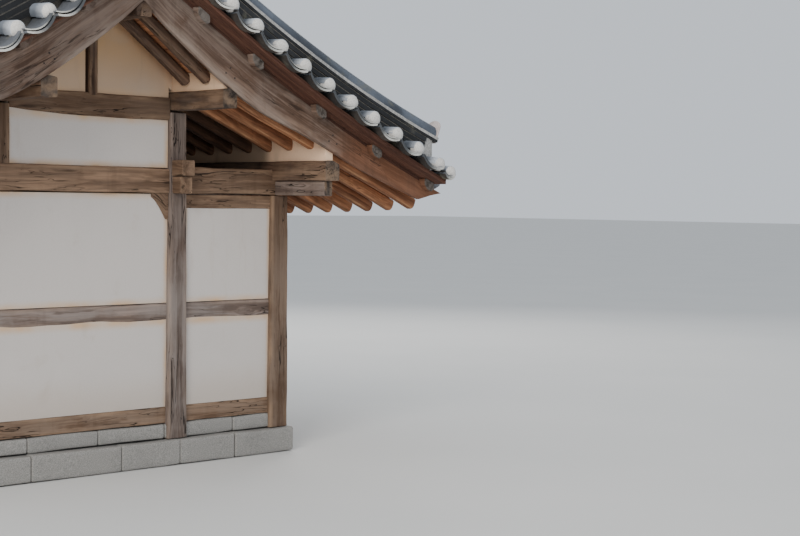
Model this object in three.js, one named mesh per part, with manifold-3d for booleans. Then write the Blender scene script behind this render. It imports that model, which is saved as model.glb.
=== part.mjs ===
// A hanok house: a tile-roofed Korean timber house of two bays, with a gable at each end
// and a porch along its right side. Millimetres, +Z up. X runs across the house, Y along the
// ridge, and the ground is Z = 0. The front gable is at -Y, the porch at +X.
import * as THREE from "three";
import { mergeVertices } from "three/addons/utils/BufferGeometryUtils.js";
import Module from "manifold-3d";

const wasm = await Module();
wasm.setup();

// Driving dimensions
const BAY = 3000; // from frame to frame along the ridge
const MIDDLE_X = 945; // ridge line to middle purlin
const PORCH = 1250; // middle purlin to eave purlin
const EAVE_X = MIDDLE_X + PORCH;
const COLUMN = 190;
const HALF_COLUMN = COLUMN / 2;
const GAP = 0.3; // clearance between pieces that touch
const SEAM = GAP / 2; // each roof half's distance from the ridge line
const SEAT = 10; // how deep one surface is set in another before it is cut clear
const WALL = 100; // plaster wall thickness
const HALF_WALL = WALL / 2;

const FOOTING_TOP = 250; // column feet
const DOORWAY = { width: 1300, top: 2300 }; // from the porch into the room
const FLOOR_BOTTOM = 400;
const FLOOR_TOP = 560;
const FOOTING_WIDTH = 320;
const CURB_WIDTH = 150;
const RAIL = { bottom: 1410, top: 1560, proud: 10, pastColumn: 60 };
const MAIN_BEAM = { bottom: 2600, top: 2850, width: COLUMN };
const TIE_BEAM = { bottom: 2600, top: 2870, width: 170 };
// under a gable's main beam; its hollow edge falls as this power of the way along
const BRACKET = { length: 190, drop: 210, thickness: 130, tip: 30, hollow: 1.4 };
// two timbers, one on the other, which run through the tall columns and show their ends
const LONG_TIE = { halfWidth: 80, bottom: 2770, top: 2930, end: 3260 };
const LONG_TIE_FOOT = { halfWidth: 60, bottom: 2620, end: 3200 };
const LINTEL = { bottom: 2490, top: 2600, width: 130 };
const UPPER_BEAM = { bottom: 3317, top: 3497, width: 170 };
const RIDGE_POST = { width: 130 };
const PURLIN = { width: 180, height: 200 };
const UNDER_PURLIN = { width: 110, height: 150, short: 60 }; // ends short of the board
const MIDDLE_PURLIN_TOP = 3578;
const RIDGE_PURLIN_TOP = 4285;

const RAFTER = { halfWidth: 60, halfSole: 35 };
const RAFTER_SEAT = 10; // how far the rafters are let in over the purlins
const RAFTER_SPACING = 328;
const RAFTER_PAIRS = 11; // on each side of the one at mid-length
const RAFTER_TIP_X = 3530;
const DECK_RISE = 125; // rafter underside to deck underside
const DECK = 30;
const TILE_EDGE_X = 3700;
const BOARD = { back: 3850, front: 3900, bendX: 2300, endX: 3620 }; // faces along Y
const BOARD_STEPS = 12;
const OUTRIGGER = { width: 150, height: 100, bevel: 30, tip: 4130, xs: [390, 1110, 1850, 2580, 3310] };
const SOFFIT = { rise: 80, thickness: 25, tip: 4190 };
const VERGE_Y = 4220; // outer edge of the tiles past a gable
const TILE_RISE = 180; // bargeboard top edge to tile surface
const CORNER_LIFT = 110; // how much higher the eave is at its ends

const MAIN_RIDGE = { halfWidth: 150, height: 360, endRise: 150, halfLength: 4160 };
const SLOPE_RIDGE = { inner: 3660, outer: 3940, height: 400, endRise: 80, startX: 152, endX: 3620 };

// Rows of round tiles down the slopes, with hollow tiles between them.
// A section is [distance from a row's middle, height over the tile line].
const TILE_ROW = { pitch: 330, count: 22 };
const ROW_SECTION = [[0, -8], [50, -12], [78, -118], [TILE_ROW.pitch / 2, -137]];
// The tiles laid square to a gable along its edge
const VERGE_TILE = { pitch: 331, matched: 1022, first: 190, last: 3590 };
const VERGE_SECTION = [[0, 78], [42, 70], [74, -30], [VERGE_TILE.pitch / 2, -64]];

const GABLES = { front: -BAY, back: BAY };
const FRAMES = { front: -BAY, middle: 0, back: BAY };

// Roof lines: heights over the distance x from the ridge line
const shortRafterSlope = (RIDGE_PURLIN_TOP - 3580) / MIDDLE_X;
const LONG_SLOPE_AT_GABLE = 0.417;
// 0 at a gable, 1 at mid-length
const sagShare = (y) => 1 - Math.min(1, Math.abs(y) / BOARD.front) ** 2.5;

/** Underside of the rafters. */
function rafterLine(x, y) {
  const d = Math.abs(x);
  if (d <= MIDDLE_X) return RIDGE_PURLIN_TOP - shortRafterSlope * d;
  const out = d - MIDDLE_X;
  const sag = (CORNER_LIFT * out) / (RAFTER_TIP_X - MIDDLE_X);
  return 3580 - LONG_SLOPE_AT_GABLE * out - sag * sagShare(y);
}

/** Lower edge of a bargeboard, a shallow hollow curve with a straight tail. */
function boardLower(x) {
  const d = Math.abs(x) / 1000;
  const bend = Math.min(d, BOARD.bendX / 1000);
  return 4291 - 869 * bend + 122 * bend * bend - 330 * (d - bend);
}

/** Upper edge of a bargeboard. */
function boardUpper(x) {
  const d = Math.abs(x) / 1000;
  return 4600 - 670 * d + 38 * d * d;
}

/** Top of the tiles. */
function tileLine(x, y) {
  const out = Math.max(0, Math.abs(x) - MIDDLE_X) / (TILE_EDGE_X - MIDDLE_X);
  return boardUpper(x) + TILE_RISE - CORNER_LIFT * out * out * sagShare(y);
}

const sorted = (a, b) => [a, b].sort((p, q) => p - q);

/** The height of a section at a distance from its middle. */
function sectionHeight(section, off) {
  const next = section.findIndex(([at]) => at > off);
  if (next < 0) return section.at(-1)[1];
  const [[a, low], [b, high]] = [section[next - 1], section[next]];
  return low + ((high - low) * (off - a)) / (b - a);
}

// Solids
function solid(geometry) {
  const plain = geometry.index ? geometry.toNonIndexed() : geometry.clone();
  plain.deleteAttribute("normal");
  plain.deleteAttribute("uv");
  const merged = mergeVertices(plain, 1e-3);
  return new wasm.Manifold(
    new wasm.Mesh({
      numProp: 3,
      vertProperties: merged.attributes.position.array,
      triVerts: new Uint32Array(merged.index.array),
    }),
  );
}

function geometryOf(made) {
  const mesh = made.getMesh();
  return new THREE.BufferGeometry()
    .setAttribute("position", new THREE.BufferAttribute(new Float32Array(mesh.vertProperties), 3))
    .setIndex(new THREE.BufferAttribute(new Uint32Array(mesh.triVerts), 1));
}

const join = (solids) => solids.reduce((all, one) => all.add(one));
const cut = (from, solids) => solids.reduce((left, one) => left.subtract(one), from);

/** A box between two corners, grown by a margin on every side. */
function box([x0, y0, z0], [x1, y1, z1], grow = 0) {
  const geometry = new THREE.BoxGeometry(x1 - x0 + 2 * grow, y1 - y0 + 2 * grow, z1 - z0 + 2 * grow);
  return solid(geometry.translate((x0 + x1) / 2, (y0 + y1) / 2, (z0 + z1) / 2));
}

/** Places from a to b in even steps. */
const steps = (a, b, count) => Array.from({ length: count + 1 }, (_, i) => a + ((b - a) * i) / count);

/** A slab over a grid of the plan, between two height functions. */
function slab(xs, ys, bottom, top) {
  const [nx, ny] = [xs.length - 1, ys.length - 1];
  const geometry = new THREE.BoxGeometry(1, 1, 1, nx, ny, 1);
  const at = geometry.attributes.position;
  for (let i = 0; i < at.count; i++) {
    const x = xs[Math.round((at.getX(i) + 0.5) * nx)];
    const y = ys[Math.round((at.getY(i) + 0.5) * ny)];
    at.setXYZ(i, x, y, at.getZ(i) > 0 ? top(x, y) : bottom(x, y));
  }
  return solid(geometry);
}

/** A plate whose outline is given in X and Z, between two places along Y. */
function plate(outline, y0, y1) {
  const shape = new THREE.Shape(outline.map(([x, z]) => new THREE.Vector2(x, z)));
  const geometry = new THREE.ExtrudeGeometry(shape, { depth: y1 - y0, bevelEnabled: false });
  return solid(geometry.rotateX(Math.PI / 2).translate(0, y1, 0));
}

/** Points along a curve of x, from a to b. */
function along(a, b, count, height) {
  return steps(a, b, count).map((x) => [x, height(x)]);
}

// Materials
const finish = (color, roughness) => new THREE.MeshStandardMaterial({ color, roughness, metalness: 0 });
const timber = finish(0x7a5f4c, 0.85);
const soffitTimber = finish(0x7d4a2b, 0.85);
const plaster = finish(0xb9b2aa, 0.95);
const stone = finish(0x8f8b84, 0.95);
const tile = finish(0x4f555c, 0.8);

const house = new THREE.Group();
function add(name, made, material) {
  const mesh = new THREE.Mesh(geometryOf(made), material);
  mesh.name = name;
  house.add(mesh);
}

// The rails at mid-height run through the columns of the gables and of the left wall.
// Each lies in the outer half of its wall.
function midRails(grow = 0) {
  const out = HALF_WALL + RAIL.proud;
  const end = EAVE_X - HALF_COLUMN + RAIL.pastColumn;
  const level = ([x0, y0], [x1, y1]) => box([x0, y0, RAIL.bottom], [x1, y1, RAIL.top], grow);
  return join([
    level([-EAVE_X - out, -BAY - out], [end, -BAY]),
    level([-EAVE_X - out, BAY], [end, BAY + out]),
    level([-EAVE_X - out, -BAY - out], [-EAVE_X, BAY + out]),
  ]);
}
const railRoom = midRails(GAP);

// The floor is one boarded platform. Its edge runs between the columns as the lower rail.
const floorHalf = { x: EAVE_X + HALF_WALL + RAIL.proud, y: BAY + HALF_WALL + RAIL.proud };

const COLUMN_ROWS = { left: -EAVE_X, tall: MIDDLE_X, porch: EAVE_X };
function columnBox(x, y, bottom, top, grow = 0) {
  return box([x - HALF_COLUMN, y - HALF_COLUMN, bottom], [x + HALF_COLUMN, y + HALF_COLUMN, top], grow);
}
function eachColumn(make) {
  return Object.entries(FRAMES).flatMap(([frame, y]) =>
    Object.entries(COLUMN_ROWS).map(([row, x]) => make(frame, row, x, y)),
  );
}

function buildFoundation() {
  const half = FOOTING_WIDTH / 2;
  const curbHalf = CURB_WIDTH / 2;
  const strip = (x0, x1, y0, y1) => [
    box([x0 - half, y0 - half, 0], [x1 + half, y1 + half, FOOTING_TOP]),
    box([x0 - curbHalf, y0 - curbHalf, FOOTING_TOP], [x1 + curbHalf, y1 + curbHalf, FLOOR_BOTTOM]),
  ];
  const runs = [
    strip(-EAVE_X, EAVE_X, -BAY, -BAY),
    strip(-EAVE_X, EAVE_X, BAY, BAY),
    strip(-EAVE_X, -EAVE_X, -BAY, BAY),
    strip(MIDDLE_X, MIDDLE_X, -BAY, BAY),
    strip(EAVE_X, EAVE_X, -BAY, BAY),
  ].flat();
  const feet = eachColumn((frame, row, x, y) => columnBox(x, y, FOOTING_TOP, FLOOR_TOP, GAP));
  add("foundation", cut(join(runs), feet), stone);
}

function buildFloor() {
  const feet = eachColumn((frame, row, x, y) => columnBox(x, y, FOOTING_TOP, FLOOR_TOP, 1));
  const boards = box(
    [-floorHalf.x, -floorHalf.y, FLOOR_BOTTOM + GAP],
    [floorHalf.x, floorHalf.y, FLOOR_TOP],
  );
  add("floor_platform", cut(boards, feet), timber);
}

/** The two timbers that run along the ridge through the tall columns. */
function longTie(grow = 0) {
  const run = ({ halfWidth, bottom, end }, top) =>
    box([MIDDLE_X - halfWidth, -end, bottom], [MIDDLE_X + halfWidth, end, top], grow);
  return run(LONG_TIE, LONG_TIE.top).add(run(LONG_TIE_FOOT, LONG_TIE.bottom + 1));
}
const tieRoom = longTie(GAP);

function buildColumns() {
  const tops = { left: MAIN_BEAM.bottom, tall: MIDDLE_PURLIN_TOP - PURLIN.height, porch: TIE_BEAM.bottom };
  eachColumn((frame, row, x, y) => {
    const post = columnBox(x, y, FOOTING_TOP, tops[row] - GAP);
    add(`${frame}_${row}_column`, cut(post, [railRoom, tieRoom]), timber);
  });
  add("long_tie", longTie(), timber);
}

// Purlins lie on the frames and carry the rafters past both gables.
const purlinTops = {
  left_eave: (y) => rafterLine(EAVE_X, y),
  left_middle: () => MIDDLE_PURLIN_TOP,
  ridge: () => RIDGE_PURLIN_TOP,
  right_middle: () => MIDDLE_PURLIN_TOP,
  right_eave: (y) => rafterLine(EAVE_X, y),
};
const purlinXs = { left_eave: -EAVE_X, left_middle: -MIDDLE_X, ridge: 0, right_middle: MIDDLE_X, right_eave: EAVE_X };
const EAVE_PURLIN_BOTTOM = 2750;

/** A purlin, square at its foot, whose top two corners are bevelled to the rafters. */
function purlin(name, grow = 0) {
  const x = purlinXs[name];
  const half = PURLIN.width / 2 + grow;
  const eave = name.endsWith("eave");
  const bottom = (eave ? EAVE_PURLIN_BOTTOM : purlinTops[name](0) - PURLIN.height) - grow;
  const end = BOARD.back - GAP;
  const top = (px, py) => Math.min(rafterLine(px, py), purlinTops[name](py)) - GAP + grow;
  const beam = slab(steps(x - half, x + half, 4), steps(-end, end, eave ? 12 : 1), () => bottom, top);
  if (!eave) return beam;
  const under = UNDER_PURLIN.width / 2 + grow;
  const underEnd = end - UNDER_PURLIN.short;
  return beam.add(
    box([x - under, -underEnd, bottom - UNDER_PURLIN.height], [x + under, underEnd, bottom + 1]),
  );
}

/** The end of a purlin that shows under a bargeboard, whose lower edge it stops at. */
function purlinTail(name, outside) {
  const x = purlinXs[name];
  const half = PURLIN.width / 2;
  const bottom = name.endsWith("eave") ? EAVE_PURLIN_BOTTOM : purlinTops[name](0) - PURLIN.height;
  const top = (px, py) => Math.min(rafterLine(px, py), purlinTops[name](py), boardLower(px)) - GAP;
  const ys = sorted(outside * (BOARD.back - GAP - 1), outside * BOARD.front);
  return slab(steps(x - half, x + half, 4), ys, () => bottom, top);
}

const purlinRoom = Object.fromEntries(Object.keys(purlinXs).map((name) => [name, purlin(name, GAP)]));

function buildPurlins() {
  for (const name of Object.keys(purlinXs)) {
    const tails = [-1, 1].map((outside) => purlinTail(name, outside));
    add(`${name}_purlin`, join([purlin(name), ...tails]), timber);
  }
}

/** The curved bracket in the corner of a gable's main beam and its tall column. */
function bracket(y, grow = 0) {
  const { length, drop, thickness, tip, hollow } = BRACKET;
  const edge = MIDDLE_X - HALF_COLUMN - GAP + grow;
  const top = MAIN_BEAM.bottom + 1 + grow;
  const foot = top - tip - drop - 2 * grow;
  const curve = steps(0, 1, 5).map((share) => [
    edge - length - grow + (length - tip) * share,
    top - tip - 2 * grow - drop * share ** hollow,
  ]);
  const outline = [[edge - length - grow, top], ...curve, [edge, foot], [edge, top]];
  return plate(outline, y - thickness / 2 - grow, y + thickness / 2 + grow);
}

/** The frame at one end or at mid-length: beams and the posts that stand on them. */
function buildFrame(frame, y) {
  const outside = Math.sign(y); // the side of the frame that faces out, 0 at mid-length
  const beam = (x0, x1, { bottom, top, width }) => box([x0, y - width / 2, bottom], [x1, y + width / 2, top]);
  // a gable's posts stand proud of the plaster that runs behind them
  const halfPost = (x, width, bottom, top) => {
    const depth = [y - HALF_COLUMN, y + HALF_COLUMN];
    if (outside < 0) depth[1] = y;
    if (outside > 0) depth[0] = y;
    return box([x - width / 2, depth[0], bottom], [x + width / 2, depth[1], top]);
  };
  // beams end under the eave purlins, on the outer columns
  const columnFace = MIDDLE_X - HALF_COLUMN - GAP;
  const main = beam(-EAVE_X, columnFace, MAIN_BEAM);
  const whole = outside === 0 ? main : main.add(bracket(y));
  add(`${frame}_main_beam`, cut(whole, [purlinRoom.left_eave]), timber);

  const tieStart = MIDDLE_X + HALF_COLUMN + GAP;
  const tie = beam(tieStart, EAVE_X, TIE_BEAM);
  const lintelEnd = EAVE_X - HALF_COLUMN - GAP;
  const lintel = beam(tieStart, lintelEnd, { ...LINTEL, top: LINTEL.top + 1 });
  add(`${frame}_tie_beam`, cut(tie.add(lintel), [purlinRoom.right_eave]), timber);

  const postTop = MIDDLE_PURLIN_TOP - PURLIN.height - GAP;
  add(`${frame}_queen_post`, halfPost(-MIDDLE_X, COLUMN, MAIN_BEAM.top + GAP, postTop), timber);

  const reach = MIDDLE_X - PURLIN.width / 2 - GAP;
  const posts = [
    columnBox(MIDDLE_X, y, UPPER_BEAM.bottom - 100, postTop, GAP),
    columnBox(-MIDDLE_X, y, UPPER_BEAM.bottom - 100, postTop, GAP),
  ];
  add(`${frame}_upper_beam`, cut(beam(-reach, reach, UPPER_BEAM), posts), timber);

  const ridgeFoot = RIDGE_PURLIN_TOP - PURLIN.height - GAP;
  add(`${frame}_ridge_post`, halfPost(0, RIDGE_POST.width, UPPER_BEAM.top + GAP, ridgeFoot), timber);
}

/** Plaster of one gable: under the beams, between them, and up to the rafters. */
function buildGableWalls(gable, y) {
  const outside = Math.sign(y);
  const y0 = y - HALF_WALL;
  const y1 = y + HALF_WALL;
  const [roomY0, roomY1] = sorted(y, y + outside * COLUMN);
  const postRoom = [[-MIDDLE_X, HALF_COLUMN], [0, RIDGE_POST.width / 2]].map(([x, half]) =>
    box([x - half, roomY0, MAIN_BEAM.top], [x + half, roomY1, RIDGE_PURLIN_TOP], GAP),
  );
  const panel = (x0, x1, z0, z1) => box([x0 + GAP, y0, z0 + GAP], [x1 - GAP, y1, z1 - GAP]);

  const room = panel(-EAVE_X + HALF_COLUMN, MIDDLE_X - HALF_COLUMN, FLOOR_TOP, MAIN_BEAM.bottom);
  add(`${gable}_room_wall`, cut(room, [railRoom, bracket(y, GAP)]), plaster);
  const porch = panel(MIDDLE_X + HALF_COLUMN, EAVE_X - HALF_COLUMN, FLOOR_TOP, LINTEL.bottom);
  add(`${gable}_porch_wall`, cut(porch, [railRoom]), plaster);

  const under = (x) => rafterLine(x, y - outside * COLUMN) - RAFTER_SEAT - GAP;
  const atticRight = MIDDLE_X - HALF_COLUMN - GAP;
  const attic = plate(
    [
      [-EAVE_X, MAIN_BEAM.top + GAP],
      [atticRight, MAIN_BEAM.top + GAP],
      [atticRight, UPPER_BEAM.bottom - GAP],
      [-MIDDLE_X + HALF_COLUMN, UPPER_BEAM.bottom - GAP],
      [-MIDDLE_X + HALF_COLUMN, MIDDLE_PURLIN_TOP - PURLIN.height - GAP],
      [-MIDDLE_X - PURLIN.width / 2 - GAP, MIDDLE_PURLIN_TOP - PURLIN.height - GAP],
      [-MIDDLE_X - PURLIN.width / 2 - GAP, under(-MIDDLE_X - PURLIN.width / 2)],
      [-EAVE_X, under(-EAVE_X)],
    ],
    y0,
    y1,
  );
  add(`${gable}_attic_wall`, cut(attic, [postRoom[0], purlinRoom.left_eave]), plaster);

  const side = MIDDLE_X - PURLIN.width / 2 - GAP;
  const top = plate(
    [
      [-side, UPPER_BEAM.top + GAP],
      [side, UPPER_BEAM.top + GAP],
      [side, under(side)],
      [0, under(0)],
      [-side, under(-side)],
    ],
    y0,
    y1,
  );
  add(`${gable}_top_wall`, cut(top, [postRoom[1], purlinRoom.ridge]), plaster);
}

/** The left wall, and the one wall of the room's front, each a bay long. */
function buildSideWalls() {
  const wall = (x, bay, bottom, top, openings = []) => {
    const from = bay * BAY + HALF_COLUMN + GAP;
    const to = (bay + 1) * BAY - HALF_COLUMN - GAP;
    const body = box([x - HALF_WALL, from, bottom + GAP], [x + HALF_WALL, to, top - GAP]);
    return cut(body, [railRoom, ...openings]);
  };
  const eaveFoot = EAVE_PURLIN_BOTTOM - UNDER_PURLIN.height;
  add("left_wall_front_bay", wall(-EAVE_X, -1, FLOOR_TOP, eaveFoot), plaster);
  add("left_wall_back_bay", wall(-EAVE_X, 0, FLOOR_TOP, eaveFoot), plaster);

  const middle = -BAY / 2;
  const doorway = box(
    [MIDDLE_X - WALL, middle - DOORWAY.width / 2, FLOOR_TOP - WALL],
    [MIDDLE_X + WALL, middle + DOORWAY.width / 2, DOORWAY.top],
  );
  const front = wall(MIDDLE_X, -1, FLOOR_TOP, LONG_TIE_FOOT.bottom, [doorway]);
  add("porch_wall_front_bay", front, plaster);
  const purlinFoot = MIDDLE_PURLIN_TOP - PURLIN.height;
  add("porch_wall_front_top", wall(MIDDLE_X, -1, LONG_TIE.top, purlinFoot), plaster);
  add("mid_rails", midRails(), timber);
}

const roofReach = BOARD.back - GAP;

const signed = (side, distances) => (side > 0 ? distances : distances.map((d) => -d).reverse());

/** A slab over one slope, in two parts that meet above the middle purlin. */
function slopeSlab(side, ys, bottom, top, innerXs, outerXs) {
  const part = (distances) => slab(signed(side, distances), ys, bottom, top);
  return part(innerXs).add(part(outerXs));
}
const MEETING_X = MIDDLE_X - 0.01;

// Lines across a rafter: its two sides at the deck, and the two edges of its underside
const rafterCentres = steps(-RAFTER_PAIRS, RAFTER_PAIRS, 2 * RAFTER_PAIRS).map((i) => i * RAFTER_SPACING);
const rafterLines = rafterCentres.flatMap((y) =>
  [-RAFTER.halfWidth, -RAFTER.halfSole, RAFTER.halfSole, RAFTER.halfWidth].map((off) => y + off),
);
const deckLines = [-roofReach, ...rafterLines, roofReach];
const deckTop = (x, y) => rafterLine(x, y) + DECK_RISE + DECK;

/** The rafters of one slope and the boards on them, as one ribbed slab. */
function buildRoofTimbers(hand, side) {
  const underside = (x, y) => {
    const centre = Math.round(y / RAFTER_SPACING) * RAFTER_SPACING;
    const onSole = Math.abs(y - centre) < (RAFTER.halfSole + RAFTER.halfWidth) / 2;
    if (onSole) return rafterLine(x, centre) - RAFTER_SEAT;
    return rafterLine(x, y) + DECK_RISE;
  };
  const ribbed = slopeSlab(side, deckLines, underside, deckTop, [SEAM, MIDDLE_X], [MEETING_X, RAFTER_TIP_X]);
  const seats = ["ridge", `${hand}_middle`, `${hand}_eave`].map((name) => purlinRoom[name]);
  add(`${hand}_rafters_and_deck`, cut(ribbed, seats), soffitTimber);
}

/** A bargeboard with the outriggers notched into its top edge and the soffit boards on them. */
function bargeboard(side, outside, lift = 0) {
  const start = side * SEAM;
  const end = side * BOARD.endX;
  const lower = (x) => boardLower(x) + lift;
  const upper = (x) => boardUpper(x) + lift;
  const outline = [...along(start, end, BOARD_STEPS, lower), ...along(end, start, BOARD_STEPS, upper)];
  const span = (a, b) => sorted(outside * a, outside * b);
  const pieces = [plate(outline, ...span(BOARD.back, BOARD.front))];
  const { width, height, bevel, tip, xs } = OUTRIGGER;
  const half = width / 2;
  for (const x of xs.map((distance) => side * distance)) {
    const top = (px) => upper(px) + SOFFIT.rise + 1;
    const corners = [
      [x - half + bevel, height],
      [x + half - bevel, height],
      [x + half, height - bevel],
      [x + half, 0],
      [x - half, 0],
      [x - half, height - bevel],
    ];
    const section = corners.map(([px, depth]) => [px, top(px) - depth]);
    pieces.push(plate(section, ...span(BOARD.back, tip)));
  }
  const soffitXs = steps(...sorted(start, side * RAFTER_TIP_X), BOARD_STEPS);
  const soffitBottom = (x) => upper(x) + SOFFIT.rise;
  const soffitTop = (x) => soffitBottom(x) + SOFFIT.thickness;
  pieces.push(slab(soffitXs, span(BOARD.back, SOFFIT.tip), soffitBottom, soffitTop));
  return join(pieces);
}

// Lines of the tiled surface. It is plain under the ridges, and has its rows between them.
const STEP = 2; // width of the step from plain to rows
const ridgeSide = MAIN_RIDGE.halfWidth + 1;
const rowReach = SLOPE_RIDGE.inner - 5;
const halfRows = (TILE_ROW.count - 1) / 2;
const rowMiddles = steps(-halfRows, halfRows, TILE_ROW.count - 1).map((i) => i * TILE_ROW.pitch);
const lineOffsets = ([[], [crown], [foot]]) => [-foot, -crown, crown, foot];
const rowLines = rowMiddles.flatMap((y, i) => [
  ...(i > 0 ? [y - TILE_ROW.pitch / 2] : []),
  ...lineOffsets(ROW_SECTION).map((off) => y + off),
]);
const edgeLines = [rowReach, rowReach + STEP, roofReach];
const tileYs = [...edgeLines.map((y) => -y).reverse(), ...rowLines, ...edgeLines];
const ridgeXs = [SEAM, ridgeSide, ridgeSide + STEP];
const fieldXs = {
  inner: [...ridgeXs, MIDDLE_X / 2, MIDDLE_X],
  outer: steps(MEETING_X, TILE_EDGE_X, 4),
};

/** Top of the tiles between the ridges, in rows. */
function rowTop(x, y) {
  if (Math.abs(x) <= ridgeSide || Math.abs(y) > rowReach) return tileLine(x, y);
  const nearest = rowMiddles.reduce((best, middle) => Math.min(best, Math.abs(y - middle)), Infinity);
  return tileLine(x, y) + sectionHeight(ROW_SECTION, nearest);
}

/** Distances from the ridge of the round tiles at a gable's edge, a pitch apart along the slope. */
function vergeMiddles() {
  const { pitch, matched, first, last } = VERGE_TILE;
  const stride = (x) => pitch / Math.hypot(1, boardUpper(x + 0.5) - boardUpper(x - 0.5));
  const middles = [matched];
  while (middles[0] - stride(middles[0]) > first) middles.unshift(middles[0] - stride(middles[0]));
  while (middles.at(-1) + 1.5 * stride(middles.at(-1)) < last) middles.push(middles.at(-1) + stride(middles.at(-1)));
  return [...middles, last];
}
const vergeTiles = vergeMiddles();
const vergeLines = vergeTiles.flatMap((x, i) => [
  ...(i > 0 ? [(x + vergeTiles[i - 1]) / 2] : []),
  ...lineOffsets(VERGE_SECTION).map((off) => x + off),
]);
const vergeXs = [...ridgeXs, ...vergeLines.filter((x) => x > ridgeSide + STEP && x < TILE_EDGE_X), TILE_EDGE_X];

/** Top of the tiles laid square to a gable. */
function vergeTop(x, y) {
  const d = Math.abs(x);
  if (d <= ridgeSide) return tileLine(x, y);
  const nearest = vergeTiles.reduce((best, middle) => Math.min(best, Math.abs(d - middle)), Infinity);
  return tileLine(x, y) + sectionHeight(VERGE_SECTION, nearest);
}

/** A solid over all the tiles of one slope, between two undersides and their top, lifted. */
function tileSlab(side, bottom, vergeBottom, lift = 0) {
  const lifted = (top) => (x, y) => top(x, y) + lift;
  const underRidge = SLOPE_RIDGE.outer + STEP;
  const verge = (outside) => {
    const part = (distances, from, to, top) =>
      slab(signed(side, distances), sorted(outside * from, outside * to), vergeBottom, lifted(top));
    return part(steps(SEAM, TILE_EDGE_X, 8), roofReach - 1, underRidge, tileLine).add(
      part(vergeXs, underRidge - 1, VERGE_Y, vergeTop),
    );
  };
  const field = slopeSlab(side, tileYs, bottom, lifted(rowTop), fieldXs.inner, fieldXs.outer);
  return join([field, verge(-1), verge(1)]);
}

/** The bed of earth and tiles of one slope, which reaches past the boards all round. */
function buildTileField(hand, side) {
  const bed = (x, y) => deckTop(x, y) - SEAT;
  const verge = (x) => boardUpper(x) + SOFFIT.rise + SOFFIT.thickness - SEAT;
  const under = (x, y) => deckTop(x, y) - DECK_RISE;
  const over = (x, y) => deckTop(x, y) + GAP;
  const deckRoom = slopeSlab(side, deckLines, under, over, [SEAM, MIDDLE_X], [MEETING_X, RAFTER_TIP_X + GAP]);
  const boards = [-1, 1].map((outside) => bargeboard(side, outside, GAP));
  add(`${hand}_tile_field`, cut(tileSlab(side, bed, verge), [deckRoom, ...boards]), tile);
}

const TILE_ROOM_DEPTH = 100;
const tileRoom = (side) => {
  const below = (x, y) => tileLine(x, y) - 2 * TILE_ROOM_DEPTH;
  return tileSlab(side, below, below, GAP);
};

/** The main ridge, which rises towards its ends. */
function buildMainRidge(rooms) {
  const { halfWidth, height, endRise, halfLength } = MAIN_RIDGE;
  const bottom = (x, y) => tileLine(x, y) - SEAT;
  const top = (x, y) => tileLine(0, y) + height + endRise * (Math.abs(y) / halfLength) ** 2.5;
  const body = slab([-halfWidth, 0, halfWidth], steps(-halfLength, halfLength, 16), bottom, top);
  const crest = tileLine(0, 0);
  const seam = box([-SEAT, -halfLength - 1, crest - TILE_ROOM_DEPTH], [SEAT, halfLength + 1, crest + GAP]);
  add("main_ridge", cut(body, [...rooms, seam]), tile);
}

/** A ridge that runs down a slope beside its gable. */
function buildSlopeRidge(name, side, outside, room) {
  const { inner, outer, height, endRise, startX, endX } = SLOPE_RIDGE;
  const xs = steps(...sorted(side * startX, side * endX), 10);
  const bottom = (x, y) => tileLine(x, y) - SEAT;
  const share = (x) => (Math.abs(x) - startX) / (endX - startX);
  const top = (x, y) => tileLine(x, y) + height + endRise * share(x) ** 2;
  add(name, cut(slab(xs, sorted(outside * inner, outside * outer), bottom, top), [room]), tile);
}

buildFoundation();
buildFloor();
buildColumns();
for (const [frame, y] of Object.entries(FRAMES)) buildFrame(frame, y);
buildPurlins();
for (const [gable, y] of Object.entries(GABLES)) buildGableWalls(gable, y);
buildSideWalls();
const rooms = { left: tileRoom(-1), right: tileRoom(1) };
for (const [hand, side] of Object.entries({ left: -1, right: 1 })) {
  buildRoofTimbers(hand, side);
  buildTileField(hand, side);
  for (const [gable, y] of Object.entries(GABLES)) {
    add(`${gable}_${hand}_bargeboard`, bargeboard(side, Math.sign(y)), timber);
    buildSlopeRidge(`${gable}_${hand}_slope_ridge`, side, Math.sign(y), rooms[hand]);
  }
}
buildMainRidge(Object.values(rooms));

export default house;
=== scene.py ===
"""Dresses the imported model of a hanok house: timbers, plaster, tiles, stone, studio and camera.

Metres, +Z up. X runs across the house, Y along the ridge, the front gable is at -Y and the porch at +X.
"""

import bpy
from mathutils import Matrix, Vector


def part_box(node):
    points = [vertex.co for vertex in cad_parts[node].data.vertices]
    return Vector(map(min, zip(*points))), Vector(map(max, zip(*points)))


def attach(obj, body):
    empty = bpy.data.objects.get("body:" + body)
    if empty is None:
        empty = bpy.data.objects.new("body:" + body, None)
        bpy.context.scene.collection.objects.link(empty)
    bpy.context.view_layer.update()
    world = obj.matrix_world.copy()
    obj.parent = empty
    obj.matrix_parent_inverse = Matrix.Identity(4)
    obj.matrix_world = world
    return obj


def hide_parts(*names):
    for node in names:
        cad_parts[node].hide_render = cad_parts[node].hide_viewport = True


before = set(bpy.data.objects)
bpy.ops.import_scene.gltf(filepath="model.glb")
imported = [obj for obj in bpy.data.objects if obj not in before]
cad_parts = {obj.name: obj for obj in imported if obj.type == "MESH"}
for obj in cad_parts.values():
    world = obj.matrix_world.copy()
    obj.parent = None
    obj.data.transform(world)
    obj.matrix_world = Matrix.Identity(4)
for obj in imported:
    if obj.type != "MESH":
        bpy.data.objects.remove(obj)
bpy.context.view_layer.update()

import logging
import math
from collections.abc import Callable
from dataclasses import dataclass, replace
from enum import Enum, IntEnum

import bpy
import numpy as np
from mathutils import Matrix

Array = np.ndarray
Values = float | Array
Height = Callable[[Array, Array], Array]
Colour = tuple[float, float, float]
Socket = bpy.types.NodeSocket

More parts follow.
